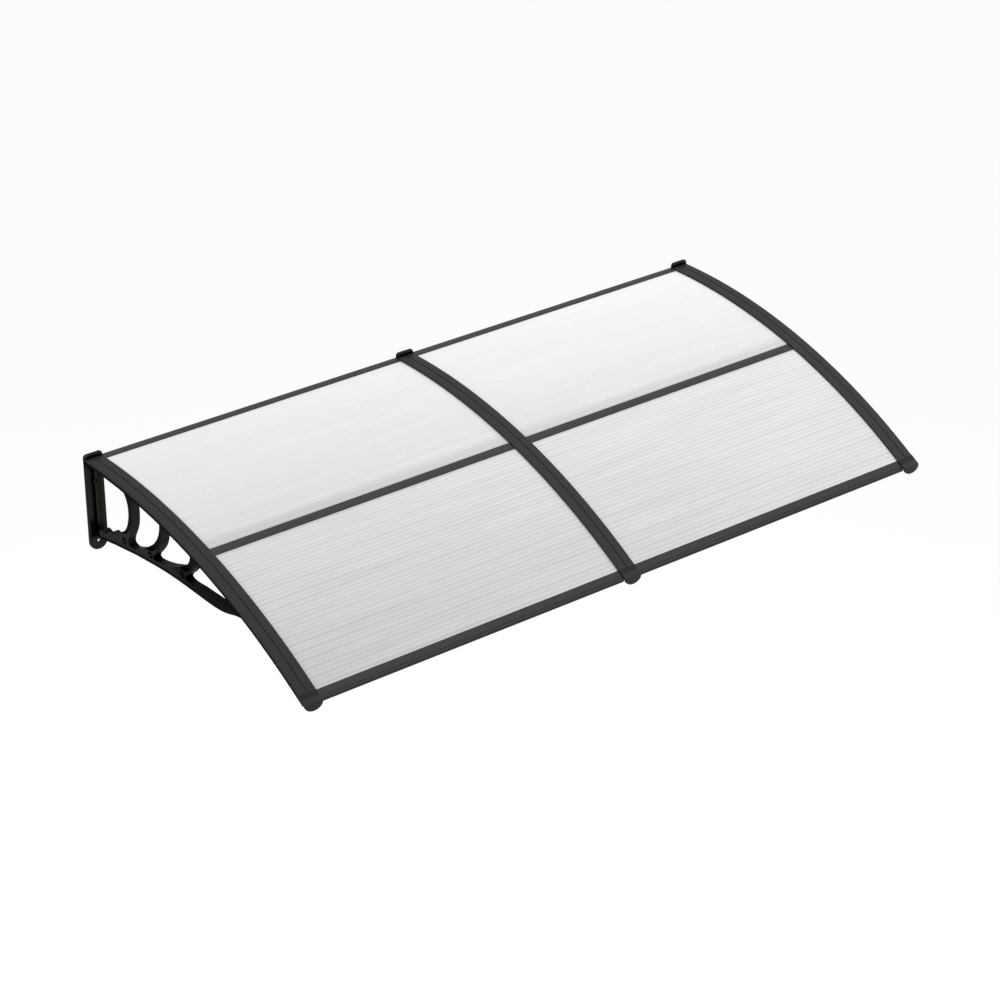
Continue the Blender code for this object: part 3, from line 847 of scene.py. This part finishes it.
@dataclass(frozen=True)
class TwinWallPolycarbonate(Finish):
    """Twin-wall polycarbonate sheet, extruded, milky against a white room.

    The eye sees a bright, slightly grey-white skin with soft lines over the flutes, and a
    soft gloss. Painted shade makes its tone greyer from the wall to the front, matched to the
    photograph.
    """

    crown: str = "#fbfbfb"
    valley: str = "#dcdddd"
    roughness: float = 0.5
    ior: float = 1.585
    # The lamps show as a soft lift over the flutes, not as a sharp spot.
    specular: float = 0.25
    flute_mm: float = 12.0
    streak_length_mm: float = 420.0
    ridge_share: float = 0.22
    ripple_mm: float = 0.10
    # Lengths along the roof, forward of its crest: the flutes show less behind the first
    # stretch, painted shade makes the tone fall as far as front_mm, and a band of painted shade
    # lies by the joining bar.
    flutes_show_mm: Span = (250.0, 600.0)
    rear_contrast: float = 0.4
    front_mm: float = 900.0
    front_shaded_tone: float = 0.75
    joint_mm: Span = (385.0, 415.0)
    joint_end_mm: float = 443.0
    joint_shaded_tone: float = 0.86

    def build(self) -> bpy.types.Material:
        """Makes the material."""
        made, shader, place = self.start()
        turn = self.roof_turn(made.node_tree, place)
        shown, height = self.flute_lines(made.node_tree, place, turn)
        tone = add_node(
            made.node_tree,
            "ShaderNodeMix",
            {0: shown, 6: linear(self.valley), 7: linear(self.crown)},
            data_type="RGBA",
        )
        shaded = add_node(
            made.node_tree,
            "ShaderNodeVectorMath",
            {0: tone.outputs[2], "Scale": self.tone_share(made.node_tree, turn)},
            operation="SCALE",
        )
        bump = add_node(
            made.node_tree,
            "ShaderNodeBump",
            {"Height": height, "Distance": self.ripple_mm * MM, "Strength": 0.6},
        )
        made.node_tree.links.new(shaded.outputs[0], shader.inputs["Base Color"])
        made.node_tree.links.new(bump.outputs["Normal"], shader.inputs["Normal"])
        shader.inputs["Roughness"].default_value = self.roughness
        shader.inputs["IOR"].default_value = self.ior
        shader.inputs["Specular IOR Level"].default_value = self.specular
        return made

    def roof_turn(
        self, tree: bpy.types.NodeTree, place: bpy.types.NodeSocket
    ) -> bpy.types.NodeSocket:
        """Finds the angle round the roof's centre, so that what follows it follows the curve.

        Args:
            tree: the material's nodes.
            place: the object's own coordinates.

        Returns:
            The angle forward of the crest.
        """
        parts = add_node(tree, "ShaderNodeSeparateXYZ", {0: place})
        out = add_node(
            tree,
            "ShaderNodeMath",
            {0: CURVE.crest_y * MM, 1: parts.outputs["Y"]},
            operation="SUBTRACT",
        )
        up = add_node(
            tree,
            "ShaderNodeMath",
            {0: parts.outputs["Z"], 1: (CURVE.crest_z - CURVE.radius) * MM},
            operation="SUBTRACT",
        )
        turn = add_node(
            tree, "ShaderNodeMath", {0: out.outputs[0], 1: up.outputs[0]}, operation="ARCTAN2"
        )
        return turn.outputs[0]

    def flute_lines(
        self,
        tree: bpy.types.NodeTree,
        place: bpy.types.NodeSocket,
        turn: bpy.types.NodeSocket,
    ) -> tuple[bpy.types.NodeSocket, bpy.types.NodeSocket]:
        """Draws a soft line over each flute and long streaks along them.

        Args:
            tree: the material's nodes.
            place: the object's own coordinates.
            turn: the angle forward of the crest.

        Returns:
            The lines as they show, weaker towards the wall, and their height.
        """
        parts = add_node(tree, "ShaderNodeSeparateXYZ", {0: place})
        flutes = add_node(
            tree,
            "ShaderNodeMath",
            {0: turn, 1: CURVE.radius / self.flute_mm},
            operation="MULTIPLY",
        )
        along = add_node(
            tree,
            "ShaderNodeMath",
            {0: parts.outputs["X"], 1: 1000 / self.streak_length_mm},
            operation="MULTIPLY",
        )
        drawn = add_node(
            tree, "ShaderNodeCombineXYZ", {0: along.outputs[0], 1: flutes.outputs[0]}
        )
        streak = add_node(
            tree,
            "ShaderNodeTexNoise",
            {"Vector": drawn.outputs[0], "Scale": 1.0, "Detail": 2.0, "Roughness": 0.5},
        )
        wave = add_node(
            tree,
            "ShaderNodeMath",
            {0: flutes.outputs[0], 1: 2 * math.pi},
            operation="MULTIPLY",
        )
        ridge = add_node(tree, "ShaderNodeMath", {0: wave.outputs[0]}, operation="COSINE")
        height = add_node(
            tree,
            "ShaderNodeMath",
            {0: ridge.outputs[0], 1: self.ridge_share, 2: streak.outputs["Fac"]},
            operation="MULTIPLY_ADD",
        )
        start, full = self.flutes_show_mm
        contrast = add_node(
            tree,
            "ShaderNodeMapRange",
            {
                "Value": turn,
                1: start / CURVE.radius,
                2: full / CURVE.radius,
                3: self.rear_contrast,
                4: 1.0,
            },
        )
        centred = add_node(
            tree, "ShaderNodeMath", {0: height.outputs[0], 1: 0.5}, operation="SUBTRACT"
        )
        shown = add_node(
            tree,
            "ShaderNodeMath",
            {0: centred.outputs[0], 1: contrast.outputs[0], 2: 0.5},
            operation="MULTIPLY_ADD",
        )
        return (shown.outputs[0], height.outputs[0])

    def tone_share(
        self, tree: bpy.types.NodeTree, turn: bpy.types.NodeSocket
    ) -> bpy.types.NodeSocket:
        """Paints shade on the sheet: greyer towards the front and in a band by the joining bar.

        Args:
            tree: the material's nodes.
            turn: the angle forward of the crest.

        Returns:
            The share of its tone that the sheet shows.
        """
        fall = add_node(
            tree,
            "ShaderNodeMapRange",
            {"Value": turn, 1: 0.0, 2: self.front_mm / CURVE.radius, 3: 1.0, 4: self.front_shaded_tone},
        )
        start, full = self.joint_mm
        rise = add_node(
            tree,
            "ShaderNodeMapRange",
            {
                "Value": turn,
                1: start / CURVE.radius,
                2: full / CURVE.radius,
                3: 0.0,
                4: 1.0 - self.joint_shaded_tone,
            },
            interpolation_type="SMOOTHSTEP",
        )
        behind = add_node(
            tree,
            "ShaderNodeMath",
            {0: turn, 1: self.joint_end_mm / CURVE.radius},
            operation="LESS_THAN",
        )
        band = add_node(
            tree,
            "ShaderNodeMath",
            {0: rise.outputs[0], 1: behind.outputs[0]},
            operation="MULTIPLY",
        )
        share = add_node(
            tree,
            "ShaderNodeMath",
            {0: fall.outputs[0], 1: band.outputs[0]},
            operation="SUBTRACT",
        )
        return share.outputs[0]


@dataclass(frozen=True)
class CloudedFinish(Finish):
    """A plain surface of one colour, faintly clouded by a second."""

    body: str
    cloud: str
    cloud_mm: float
    cloud_detail: float
    roughness: float

    def build(self) -> bpy.types.Material:
        """Makes the material."""
        made, shader, place = self.start()
        tree = made.node_tree
        clouds = add_node(
            tree,
            "ShaderNodeTexNoise",
            {"Vector": place, "Scale": 1000 / self.cloud_mm, "Detail": self.cloud_detail},
        )
        tone = add_node(
            tree,
            "ShaderNodeMix",
            {0: clouds.outputs["Fac"], 6: linear(self.body), 7: linear(self.cloud)},
            data_type="RGBA",
        )
        tree.links.new(tone.outputs[2], shader.inputs["Base Color"])
        shader.inputs["Roughness"].default_value = self.roughness
        return made


@dataclass(frozen=True)
class ExtrudedRubber(CloudedFinish):
    """EPDM rubber, extruded: matte black with a faint bloom."""

    body: str = "#232323"
    cloud: str = "#303030"
    cloud_mm: float = 25.0
    cloud_detail: float = 4.0
    roughness: float = 0.82
    ior: float = 1.52

    def build(self) -> bpy.types.Material:
        """Makes the material."""
        made = super().build()
        made.node_tree.nodes["Principled BSDF"].inputs["IOR"].default_value = self.ior
        return made


@dataclass(frozen=True)
class ZincPlatedSteel(CloudedFinish):
    """Cold-headed steel with bright zinc: a pale metal, slightly clouded."""

    body: str = "#a6a8a7"
    cloud: str = "#c9cac8"
    cloud_mm: float = 3.0
    cloud_detail: float = 3.0
    roughness: float = 0.34

    def build(self) -> bpy.types.Material:
        """Makes the material."""
        made = super().build()
        made.node_tree.nodes["Principled BSDF"].inputs["Metallic"].default_value = 1.0
        return made


def clean_skin(node: bpy.types.Object, finish: bpy.types.Material) -> None:
    """Takes a carried-over node's facets off its shading and gives it a finish.

    Args:
        node: the model's own object.
        finish: the material.
    """
    mesh = node.data
    if "custom_normal" in mesh.attributes:
        mesh.attributes.remove(mesh.attributes["custom_normal"])
    mesh.shade_smooth()
    weld = node.modifiers.new("weld", "WELD")
    weld.merge_threshold = LAYOUT.weld * MM
    mesh.materials.clear()
    mesh.materials.append(finish)


def smooth_node(node: bpy.types.Object, finish: bpy.types.Material) -> None:
    """Shades a carried-over node smooth between its real edges and gives it a finish.

    Args:
        node: the model's own object.
        finish: the material.
    """
    clean_skin(node, finish)
    split = node.modifiers.new("real_edges", "EDGE_SPLIT")
    split.split_angle = math.radians(LAYOUT.real_edge_angle)
    split.use_edge_sharp = False


@dataclass
class Bracket:
    """One moulded scroll bracket: wall plate, lower arm, scrolls and head in a single piece."""

    side: Side
    edge_radius: float = 0.8
    flat_angle: float = 1.0
    sharp_angle: float = 40.0

    def dress(self, node: bpy.types.Object, finish: bpy.types.Material) -> None:
        """Rounds the moulding's edges and gives it its plastic.

        Args:
            node: the model's own bracket.
            finish: the moulded plastic.
        """
        clean_skin(node, finish)
        flat = node.modifiers.new("flat_faces", "DECIMATE")
        flat.decimate_type = "DISSOLVE"
        flat.angle_limit = math.radians(self.flat_angle)
        edges = node.modifiers.new("moulded_edges", "BEVEL")
        edges.width = self.edge_radius * MM
        edges.segments = 2
        edges.limit_method = "ANGLE"
        edges.angle_limit = math.radians(self.sharp_angle)
        normals = node.modifiers.new("normals", "WEIGHTED_NORMAL")
        normals.keep_sharp = False
        LOG.info("bracket %s has %.1f mm edges", self.side.label, self.edge_radius)


@dataclass
class CoverStrip:
    """The channel that clips over a bracket and hides the sheets' edges."""

    side: Side
    wall: float = 2.6
    edge_radius: float = 2.2
    lip_radius: float = 0.5
    groove_width: float = 2.2
    groove_depth: float = 1.0
    groove_round: float = 0.35
    groove_draft: float = 0.2
    keel_width: float = 6.0
    crown: float = 0.5
    outer_skirt: float = 4.2
    rear_gap: float = 3.2
    step: float = 12.0

    def section(self) -> Outline:
        """The section in (x, drop), crowned a little across its top."""
        half = LAYOUT.strip_width / 2
        over_sheet = LAYOUT.sheet_drop - LAYOUT.clearance
        keel = LAYOUT.sheet_drop + LAYOUT.sheet_thickness
        outer = self.outer_skirt if self.side is not Side.CENTRE else over_sheet

        def half_section(skirt: float) -> Outline:
            """Draws one half, from the keel round the skirt and over the top.

            Args:
                skirt: the drop that this side's skirt reaches down to.

            Returns:
                The half's points at positive x.
            """
            flank = half - self.edge_radius
            top = [(flank * k / 5, self.crown * (k / 5) ** 2) for k in range(5, 0, -1)]
            shoulder = [
                (
                    flank + self.edge_radius * math.sin(math.radians(turn)),
                    self.crown + self.edge_radius * (1 - math.cos(math.radians(turn))),
                )
                for turn in range(90, 0, -15)
            ]
            groove = [
                (self.groove_width / 2 + self.groove_round, 0.0),
                (self.groove_width / 2, self.groove_round),
                (self.groove_width / 2 - self.groove_draft, self.groove_depth),
            ]
            under = [
                (self.keel_width / 2, keel),
                (self.keel_width / 2, self.wall + self.crown),
                (half - self.wall, self.wall + self.crown),
                (half - self.wall, skirt - self.lip_radius),
                (half - self.wall + self.lip_radius, skirt),
                (half - self.lip_radius, skirt),
                (half, skirt - self.lip_radius),
            ]
            return [*under, *shoulder, *top, *groove]

        sign = self.side.value or 1
        right = half_section(outer)
        left = half_section(over_sheet)
        closed = [*right, *[(-x, drop) for x, drop in reversed(left)]]
        return [(sign * x, drop) for x, drop in closed]

    def build(self, finish: bpy.types.Material) -> bpy.types.Object:
        """Makes the strip over its bracket.

        Args:
            finish: the strip's plastic.

        Returns:
            The strip.
        """
        rear = CURVE.length_at(-LAYOUT.plate_thickness - self.rear_gap)
        front = LAYOUT.cap_start - LAYOUT.clearance
        lengths = steps_between(rear, front, self.step)
        name = f"cover_strip_{self.side.label}_skin"
        strip = arc_bar(name, self.section(), lengths, self.side.value * LAYOUT.bay_width)
        settle(strip, (f"cover_strip_{self.side.label}",), finish)
        return strip


@dataclass
class NoseCap:
    """The cap that closes a strip's front end, with finger ridges and a round lobe."""

    side: Side
    wall: float = 2.8
    plate: float = 6.0
    edge_radius: float = 2.2
    lobe_straight: float = 2.4
    lobe_depth: float = 20.9
    ridge_count: int = 4
    ridge_pitch: float = 3.6
    ridge_start: float = 2.0
    ridge_depth: float = 0.9
    ridge_share: float = 0.55
    rest_share: float = 0.75
    mouth_rise: float = 0.5
    mouth_length: float = 0.4
    end_edge: float = 0.6
    skirt_edge: float = 0.4
    lobe_edge: float = 1.6

    def half_width(self) -> float:
        """Half of the cap's width, a little over the strip's."""
        return LAYOUT.strip_width / 2 + LAYOUT.cap_oversize

    def shoulder(self, top: float) -> Outline:
        """The round from the top to the right side.

        Args:
            top: the top's drop.

        Returns:
            The round's points from the top down.
        """
        flank = self.half_width() - self.edge_radius
        return [
            (
                flank + self.edge_radius * math.sin(math.radians(turn)),
                top + self.edge_radius * (1 - math.cos(math.radians(turn))),
            )
            for turn in range(0, 91, 15)
        ]

    def sleeve(self, name: str) -> bpy.types.Object:
        """Makes the sleeve that carries the ridges."""
        skirt = LAYOUT.sheet_drop - LAYOUT.clearance
        top = -LAYOUT.cap_oversize
        end = LAYOUT.cap_start + LAYOUT.cap_length - LAYOUT.cap_step
        profile = [
            (LAYOUT.cap_start, top + self.mouth_rise),
            (LAYOUT.cap_start + self.mouth_length, top),
        ]
        for i in range(self.ridge_count):
            start = LAYOUT.cap_start + self.ridge_start + i * self.ridge_pitch
            for k in range(1, 8):
                share = k / 8
                dip = self.ridge_depth * math.sin(math.pi * share) ** 2
                profile.append((start + share * self.ridge_pitch * self.ridge_share, top + dip))
            profile.append((start + self.ridge_pitch * self.rest_share, top))
        profile += [
            (end - self.end_edge, top),
            (end - self.end_edge / 4, top + self.end_edge / 4),
            (end, top + self.end_edge),
        ]
        rings = []
        for length, height in profile:
            right = [
                *self.shoulder(height),
                (self.half_width(), skirt - self.skirt_edge),
                (self.half_width() - self.skirt_edge, skirt),
                (self.half_width() - self.wall, skirt),
                (self.half_width() - self.wall, self.wall),
            ]
            section = [*right, *[(-x, drop) for x, drop in reversed(right)]]
            middle = self.side.value * LAYOUT.bay_width
            rings.append([(middle + x, *CURVE.point(drop, length)) for x, drop in section])
        return mesh_from_rings(name, rings)

    def lobe(self) -> bpy.types.Object:
        """Makes the upright end plate, with its outer face rounded off all round."""
        half = self.half_width() - LAYOUT.cap_step
        front, crown = CURVE.point(-LAYOUT.cap_oversize, LAYOUT.cap_start + LAYOUT.cap_length)
        top = crown - LAYOUT.cap_step
        reach = self.lobe_depth - self.lobe_straight
        arc = [
            (
                half * math.cos(math.radians(turn)),
                top - self.lobe_straight - reach * math.sin(math.radians(turn)),
            )
            for turn in range(0, 181, 6)
        ]
        corner = [
            (
                half - self.edge_radius * (1 - math.sin(math.radians(turn))),
                top - self.edge_radius * (1 - math.cos(math.radians(turn))),
            )
            for turn in range(0, 90, 15)
        ]
        outline = [*corner, *arc, *[(-x, z) for x, z in reversed(corner)]]
        middle_z = top - self.lobe_depth / 2
        levels = [(front + self.plate, 0.0)]
        for turn in range(0, 91, 15):
            inset = self.lobe_edge * (1 - math.cos(math.radians(turn)))
            levels.append((front + self.lobe_edge * (1 - math.sin(math.radians(turn))), inset))
        middle = self.side.value * LAYOUT.bay_width
        rings = []
        for y, inset in levels:
            across = 1 - inset / half
            down = 1 - inset / (self.lobe_depth / 2)
            rings.append(
                [(middle + x * across, y, middle_z + (z - middle_z) * down) for x, z in outline]
            )
        return mesh_from_rings("nose_lobe", rings)

    def build(self, finish: bpy.types.Material) -> bpy.types.Object:
        """Makes the cap.

        Args:
            finish: the cap's plastic.

        Returns:
            The cap.
        """
        cap = joined(self.sleeve(f"nose_cap_{self.side.label}_skin"), self.lobe())
        settle(cap, (f"nose_cap_{self.side.label}",), finish)
        return cap


class RailKind(Enum):
    """Which of a bay's three bars a rail is."""

    REAR = "rear"
    MIDDLE = "middle"
    FRONT = "front"


@dataclass
class Rail:
    """An extruded bar between two brackets that holds the sheets' edges."""

    bay: Bay
    kind: RailKind
    lip: float = 1.5
    web: float = 2.0
    middle_start: float = 430.4
    middle_width: float = 25.2
    front_start: float = 902.5
    front_width: float = 30.4
    # Shares of the front bar's width: how deep its slot is, and where the step on top lies.
    slot_share: float = 0.7
    step_share: float = 0.66
    step_groove: float = 0.4
    step_length: float = 1.0
    step_dip: float = 1.1
    bead_dip: float = 0.7
    bead_drop: float = 12.2
    heel: float = 1.5
    rear_depth: float = 20.2
    rear_heel: float = 1.0
    rear_height: float = 13.0
    rear_rise: float = 1.4
    seal: float = 1.6
    edge: float = 0.45

    def slot(self) -> tuple[float, float]:
        """The drops of the slot's top and floor, which the sheet's edge sits between."""
        top = LAYOUT.sheet_drop - LAYOUT.clearance
        return (top, LAYOUT.sheet_drop + LAYOUT.sheet_thickness + LAYOUT.clearance)

    def on_roof(self, section: Outline, length: float) -> Outline:
        """Lays a (forward, drop) section on the roof.

        Args:
            section: the section, flat.
            length: the arc length of its origin.

        Returns:
            The section in (y, z).
        """
        angle = length / CURVE.radius
        start = CURVE.point(0, length)
        return [
            (
                start[0] - forward * math.cos(angle) + drop * math.sin(angle),
                start[1] - forward * math.sin(angle) - drop * math.cos(angle),
            )
            for forward, drop in section
        ]

    def middle_outline(self) -> Outline:
        """The H-shaped bar that joins the rear sheet to the front one."""
        top, floor = self.slot()
        half, web = self.middle_width / 2, self.web / 2
        section = [
            (-half, top - self.lip),
            (half, top - self.lip),
            (half, top),
            (web, top),
            (web, floor),
            (half, floor),
            (half, floor + self.lip),
            (-half, floor + self.lip),
            (-half, floor),
            (-web, floor),
            (-web, top),
            (-half, top),
        ]
        return self.on_roof(filleted(section, self.edge), self.middle_start + half)

    def front_outline(self) -> Outline:
        """The drip bar: a slot behind, a step along its top and a round bead in front."""
        top, floor = self.slot()
        lip = top - self.lip
        back = self.front_width * self.slot_share + LAYOUT.sheet_gap
        step = self.front_width * self.step_share
        bead_end = self.bead_drop - self.heel
        bead = bead_end - (lip + self.bead_dip)
        centre = (self.front_width - bead, bead_end)
        round_front = [
            (
                centre[0] + bead * math.sin(math.radians(turn)),
                centre[1] - bead * math.cos(math.radians(turn)),
            )
            for turn in range(5, 91, 10)
        ]
        flat = [
            (0, lip),
            (step, lip),
            (step + self.step_groove, lip + self.step_dip),
            (step + self.step_length, lip + self.bead_dip),
        ]
        under = [
            (self.front_width, bead_end),
            (self.front_width - self.heel, self.bead_drop),
            (back + self.heel, self.bead_drop),
            (back, floor + self.lip),
            (0, floor + self.lip),
            (0, floor),
            (back, floor),
            (back, top),
            (0, top),
        ]
        section = filleted([*flat, *round_front, *under], self.edge)
        return self.on_roof(section, self.front_start)

    def rear_outline(self) -> Outline:
        """The wall bar: a leg up the wall and a lip that falls to the sheet."""
        back = -self.seal - LAYOUT.clearance
        front = -self.rear_depth
        web = back - self.web
        high = CURVE.crest_z - self.rear_rise
        top, _ = self.slot()
        sheet_top = CURVE.point(top, CURVE.length_at(front))[1]
        under = LAYOUT.sheet_drop + LAYOUT.sheet_thickness
        sheet_low = CURVE.point(under, CURVE.length_at(web))[1] - LAYOUT.clearance
        low = high - self.rear_height
        corners = [
            (back, high),
            (web, high),
            (front, sheet_top + self.lip),
            (front, sheet_top),
            (web, high - self.lip - self.rear_heel),
            (web, sheet_low),
            (front, sheet_low),
            (front, sheet_low - self.lip),
            (web, sheet_low - self.lip),
            (web, low),
            (back, low),
        ]
        return filleted(corners, self.edge)

    def build(self, finish: bpy.types.Material) -> bpy.types.Object:
        """Makes the rail.

        Args:
            finish: the rail's metal.

        Returns:
            The rail.
        """
        outline, gap = {
            RailKind.REAR: (self.rear_outline, LAYOUT.plate_width / 2),
            RailKind.MIDDLE: (self.middle_outline, LAYOUT.strip_width / 2),
            RailKind.FRONT: (self.front_outline, LAYOUT.strip_width / 2 + LAYOUT.cap_oversize),
        }[self.kind]
        gap += LAYOUT.clearance
        low = min(0, self.bay.value * LAYOUT.bay_width) + gap
        high = max(0, self.bay.value * LAYOUT.bay_width) - gap
        rings = [[(x, y, z) for y, z in outline()] for x in (low, high)]
        node = f"{self.kind.value}_rail_{self.bay.label}"
        rail = mesh_from_rings(f"{node}_bar", rings)
        settle(rail, (node,), finish)
        return rail


@dataclass
class Sheet:
    """One twin-wall sheet, carried over from the model with its flutes."""

    node: str

    def dress(self, node: bpy.types.Object, finish: bpy.types.Material) -> None:
        """Smooths the sheet's curve and gives it its plastic.

        Args:
            node: the model's own sheet.
            finish: the polycarbonate.
        """
        smooth_node(node, finish)
        LOG.info("%s is dressed", self.node)


@dataclass
class SmallParts:
    """The screws under each head and the seal behind each rear rail."""

    screws_per_bracket: int = 4

    def dress(
        self,
        nodes: dict[str, bpy.types.Object],
        zinc: bpy.types.Material,
        rubber: bpy.types.Material,
    ) -> None:
        """Gives the screws and seals their finishes.

        Args:
            nodes: the model's objects by name.
            zinc: the screws' plating.
            rubber: the seals' rubber.
        """
        for side in Side:
            for number in range(1, self.screws_per_bracket + 1):
                smooth_node(nodes[f"strip_screw_{side.label}_{number}"], zinc)
        for bay in Bay:
            smooth_node(nodes[f"wall_seal_{bay.label}"], rubber)
        LOG.info("screws and seals are dressed")


def seen_directly(tree: bpy.types.NodeTree) -> bpy.types.NodeSocket:
    """Tells a ray that shows a surface from one that only lights.

    Args:
        tree: the nodes of the floor or the sky.

    Returns:
        1 for a ray from the camera, off a gloss or through a clear piece, else 0.
    """
    rays = add_node(tree, "ShaderNodeLightPath")
    seen = rays.outputs["Is Camera Ray"]
    for kind in ("Is Glossy Ray", "Is Transmission Ray"):
        seen = add_node(
            tree, "ShaderNodeMath", {0: seen, 1: rays.outputs[kind]}, operation="MAXIMUM"
        ).outputs[0]
    return seen


@dataclass(frozen=True)
class Lamp:
    """One broad square lamp: where it hangs, in metres, and its watts."""

    name: str
    place: Place
    power: float
    size: float = 2.4


@dataclass
class Studio:
    """A plain white room: one pale floor, a soft sky and five broad lamps."""

    floor_z: float = -2.3
    floor_size: float = 60.0
    floor_white: str = "#b4b4b4"
    floor_grey: float = 0.2
    floor_glow: float = 0.86
    camera_place: Place = (-4.189, -5.834, 3.5605)
    # In degrees about X, Y and Z
    camera_turn: tuple[float, float, float] = (61.651, 0.0, -37.699)
    lens: float = 108.72
    sensor: float = 36.0
    clip_end: float = 200.0
    sky: float = 0.5
    lamp_target: Place = (0.0, -0.45, 0.0)
    lamps: tuple[Lamp, ...] = (
        Lamp("front_lamp", (1.47, -2.80, 1.60), 54.0),
        Lamp("right_rear_lamp", (1.39, 1.95, 1.60), 42.0),
        Lamp("left_rear_lamp", (-3.75, 1.72, 2.50), 63.0),
        Lamp("left_lamp", (-3.75, -2.62, 2.50), 12.0),
        Lamp("right_lamp", (3.75, -1.40, 1.20), 9.0),
    )

    def build_floor(self) -> None:
        """Lays the floor: nearly white where it is seen, pale grey where it only lights."""
        bm = bmesh.new()
        bmesh.ops.create_grid(bm, x_segments=1, y_segments=1, size=self.floor_size / 2)
        mesh = bpy.data.meshes.new("studio_floor")
        bm.to_mesh(mesh)
        bm.free()
        floor = bpy.data.objects.new("studio_floor", mesh)
        floor.location = (0, 0, self.floor_z)
        bpy.context.scene.collection.objects.link(floor)
        made = bpy.data.materials.new("painted_studio_floor")
        made.use_nodes = True
        tree = made.node_tree
        tree.nodes.clear()
        facing = add_node(tree, "ShaderNodeNewGeometry")
        paint = add_node(tree, "ShaderNodeBsdfDiffuse", {"Color": linear(self.floor_white)})
        faint = add_node(
            tree, "ShaderNodeBsdfDiffuse", {"Color": (*[self.floor_grey] * 3, 1.0)}
        )
        glow = add_node(
            tree, "ShaderNodeEmission", {"Color": linear("#ffffff"), "Strength": self.floor_glow}
        )
        white = add_node(tree, "ShaderNodeAddShader", {0: faint.outputs[0], 1: glow.outputs[0]})
        lit = add_node(
            tree,
            "ShaderNodeMixShader",
            {0: seen_directly(tree), 1: paint.outputs[0], 2: white.outputs[0]},
        )
        clear = add_node(tree, "ShaderNodeBsdfTransparent")
        face = add_node(
            tree,
            "ShaderNodeMixShader",
            {0: facing.outputs["Backfacing"], 1: lit.outputs[0], 2: clear.outputs[0]},
        )
        add_node(tree, "ShaderNodeOutputMaterial", {"Surface": face.outputs[0]})
        mesh.materials.append(made)

    def build_sky(self) -> None:
        """Sets the world: white where it is seen, softer where it only lights."""
        world = bpy.data.worlds.new("studio_sky")
        world.use_nodes = True
        tree = world.node_tree
        tree.nodes.clear()
        strength = add_node(
            tree,
            "ShaderNodeMapRange",
            {"Value": seen_directly(tree), 3: self.sky, 4: 1.0},
        )
        glow = add_node(
            tree,
            "ShaderNodeBackground",
            {"Color": linear("#ffffff"), "Strength": strength.outputs[0]},
        )
        add_node(tree, "ShaderNodeOutputWorld", {"Surface": glow.outputs[0]})
        bpy.context.scene.world = world

    def build_lamp(self, lamp: Lamp) -> None:
        """Hangs one broad lamp, turned to the canopy.

        Args:
            lamp: which lamp.
        """
        light = bpy.data.lights.new(lamp.name, "AREA")
        light.shape = "SQUARE"
        light.size = lamp.size
        light.energy = lamp.power
        hung = bpy.data.objects.new(lamp.name, light)
        hung.visible_glossy = False
        away = [a - b for a, b in zip(lamp.place, self.lamp_target)]
        hung.location = lamp.place
        hung.rotation_euler = (
            math.atan2(math.hypot(away[0], away[1]), away[2]),
            0.0,
            math.atan2(away[0], -away[1]),
        )
        bpy.context.scene.collection.objects.link(hung)

    def build_camera(self) -> None:
        """Sets the camera where the photograph was taken from."""
        lens = bpy.data.cameras.new("camera")
        lens.sensor_width = self.sensor
        lens.lens = self.lens
        lens.clip_end = self.clip_end
        camera = bpy.data.objects.new("camera", lens)
        camera.location = self.camera_place
        camera.rotation_euler = tuple(math.radians(turn) for turn in self.camera_turn)
        bpy.context.scene.collection.objects.link(camera)
        bpy.context.scene.camera = camera

    def build(self) -> None:
        """Makes the room."""
        self.build_floor()
        self.build_sky()
        for lamp in self.lamps:
            self.build_lamp(lamp)
        self.build_camera()
        bpy.context.scene.view_settings.view_transform = "Standard"


def main() -> None:
    """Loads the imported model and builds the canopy's look around it."""
    logging.basicConfig(level=logging.INFO, format="%(name)s: %(message)s")
    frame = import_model()
    nodes = frame["nodes"]
    moulded = BracketPolypropylene("moulded_black_polypropylene").build()
    cover = MouldedPolypropylene("moulded_cover_plastic").build()
    metal = AnodisedAluminium("dark_anodised_aluminium").build()
    clear = TwinWallPolycarbonate("twin_wall_polycarbonate").build()
    rubber = ExtrudedRubber("extruded_rubber").build()
    zinc = ZincPlatedSteel("zinc_plated_steel").build()
    for side in Side:
        Bracket(side).dress(nodes[f"bracket_{side.label}"], moulded)
        CoverStrip(side).build(cover)
        NoseCap(side).build(cover)
    for bay in Bay:
        for kind in RailKind:
            Rail(bay, kind).build(metal)
        for row in ("rear", "front"):
            name = f"{row}_sheet_{bay.label}"
            Sheet(name).dress(nodes[name], clear)
    SmallParts().dress(nodes, zinc, rubber)
    Studio().build()


if __name__ == "__main__":
    main()
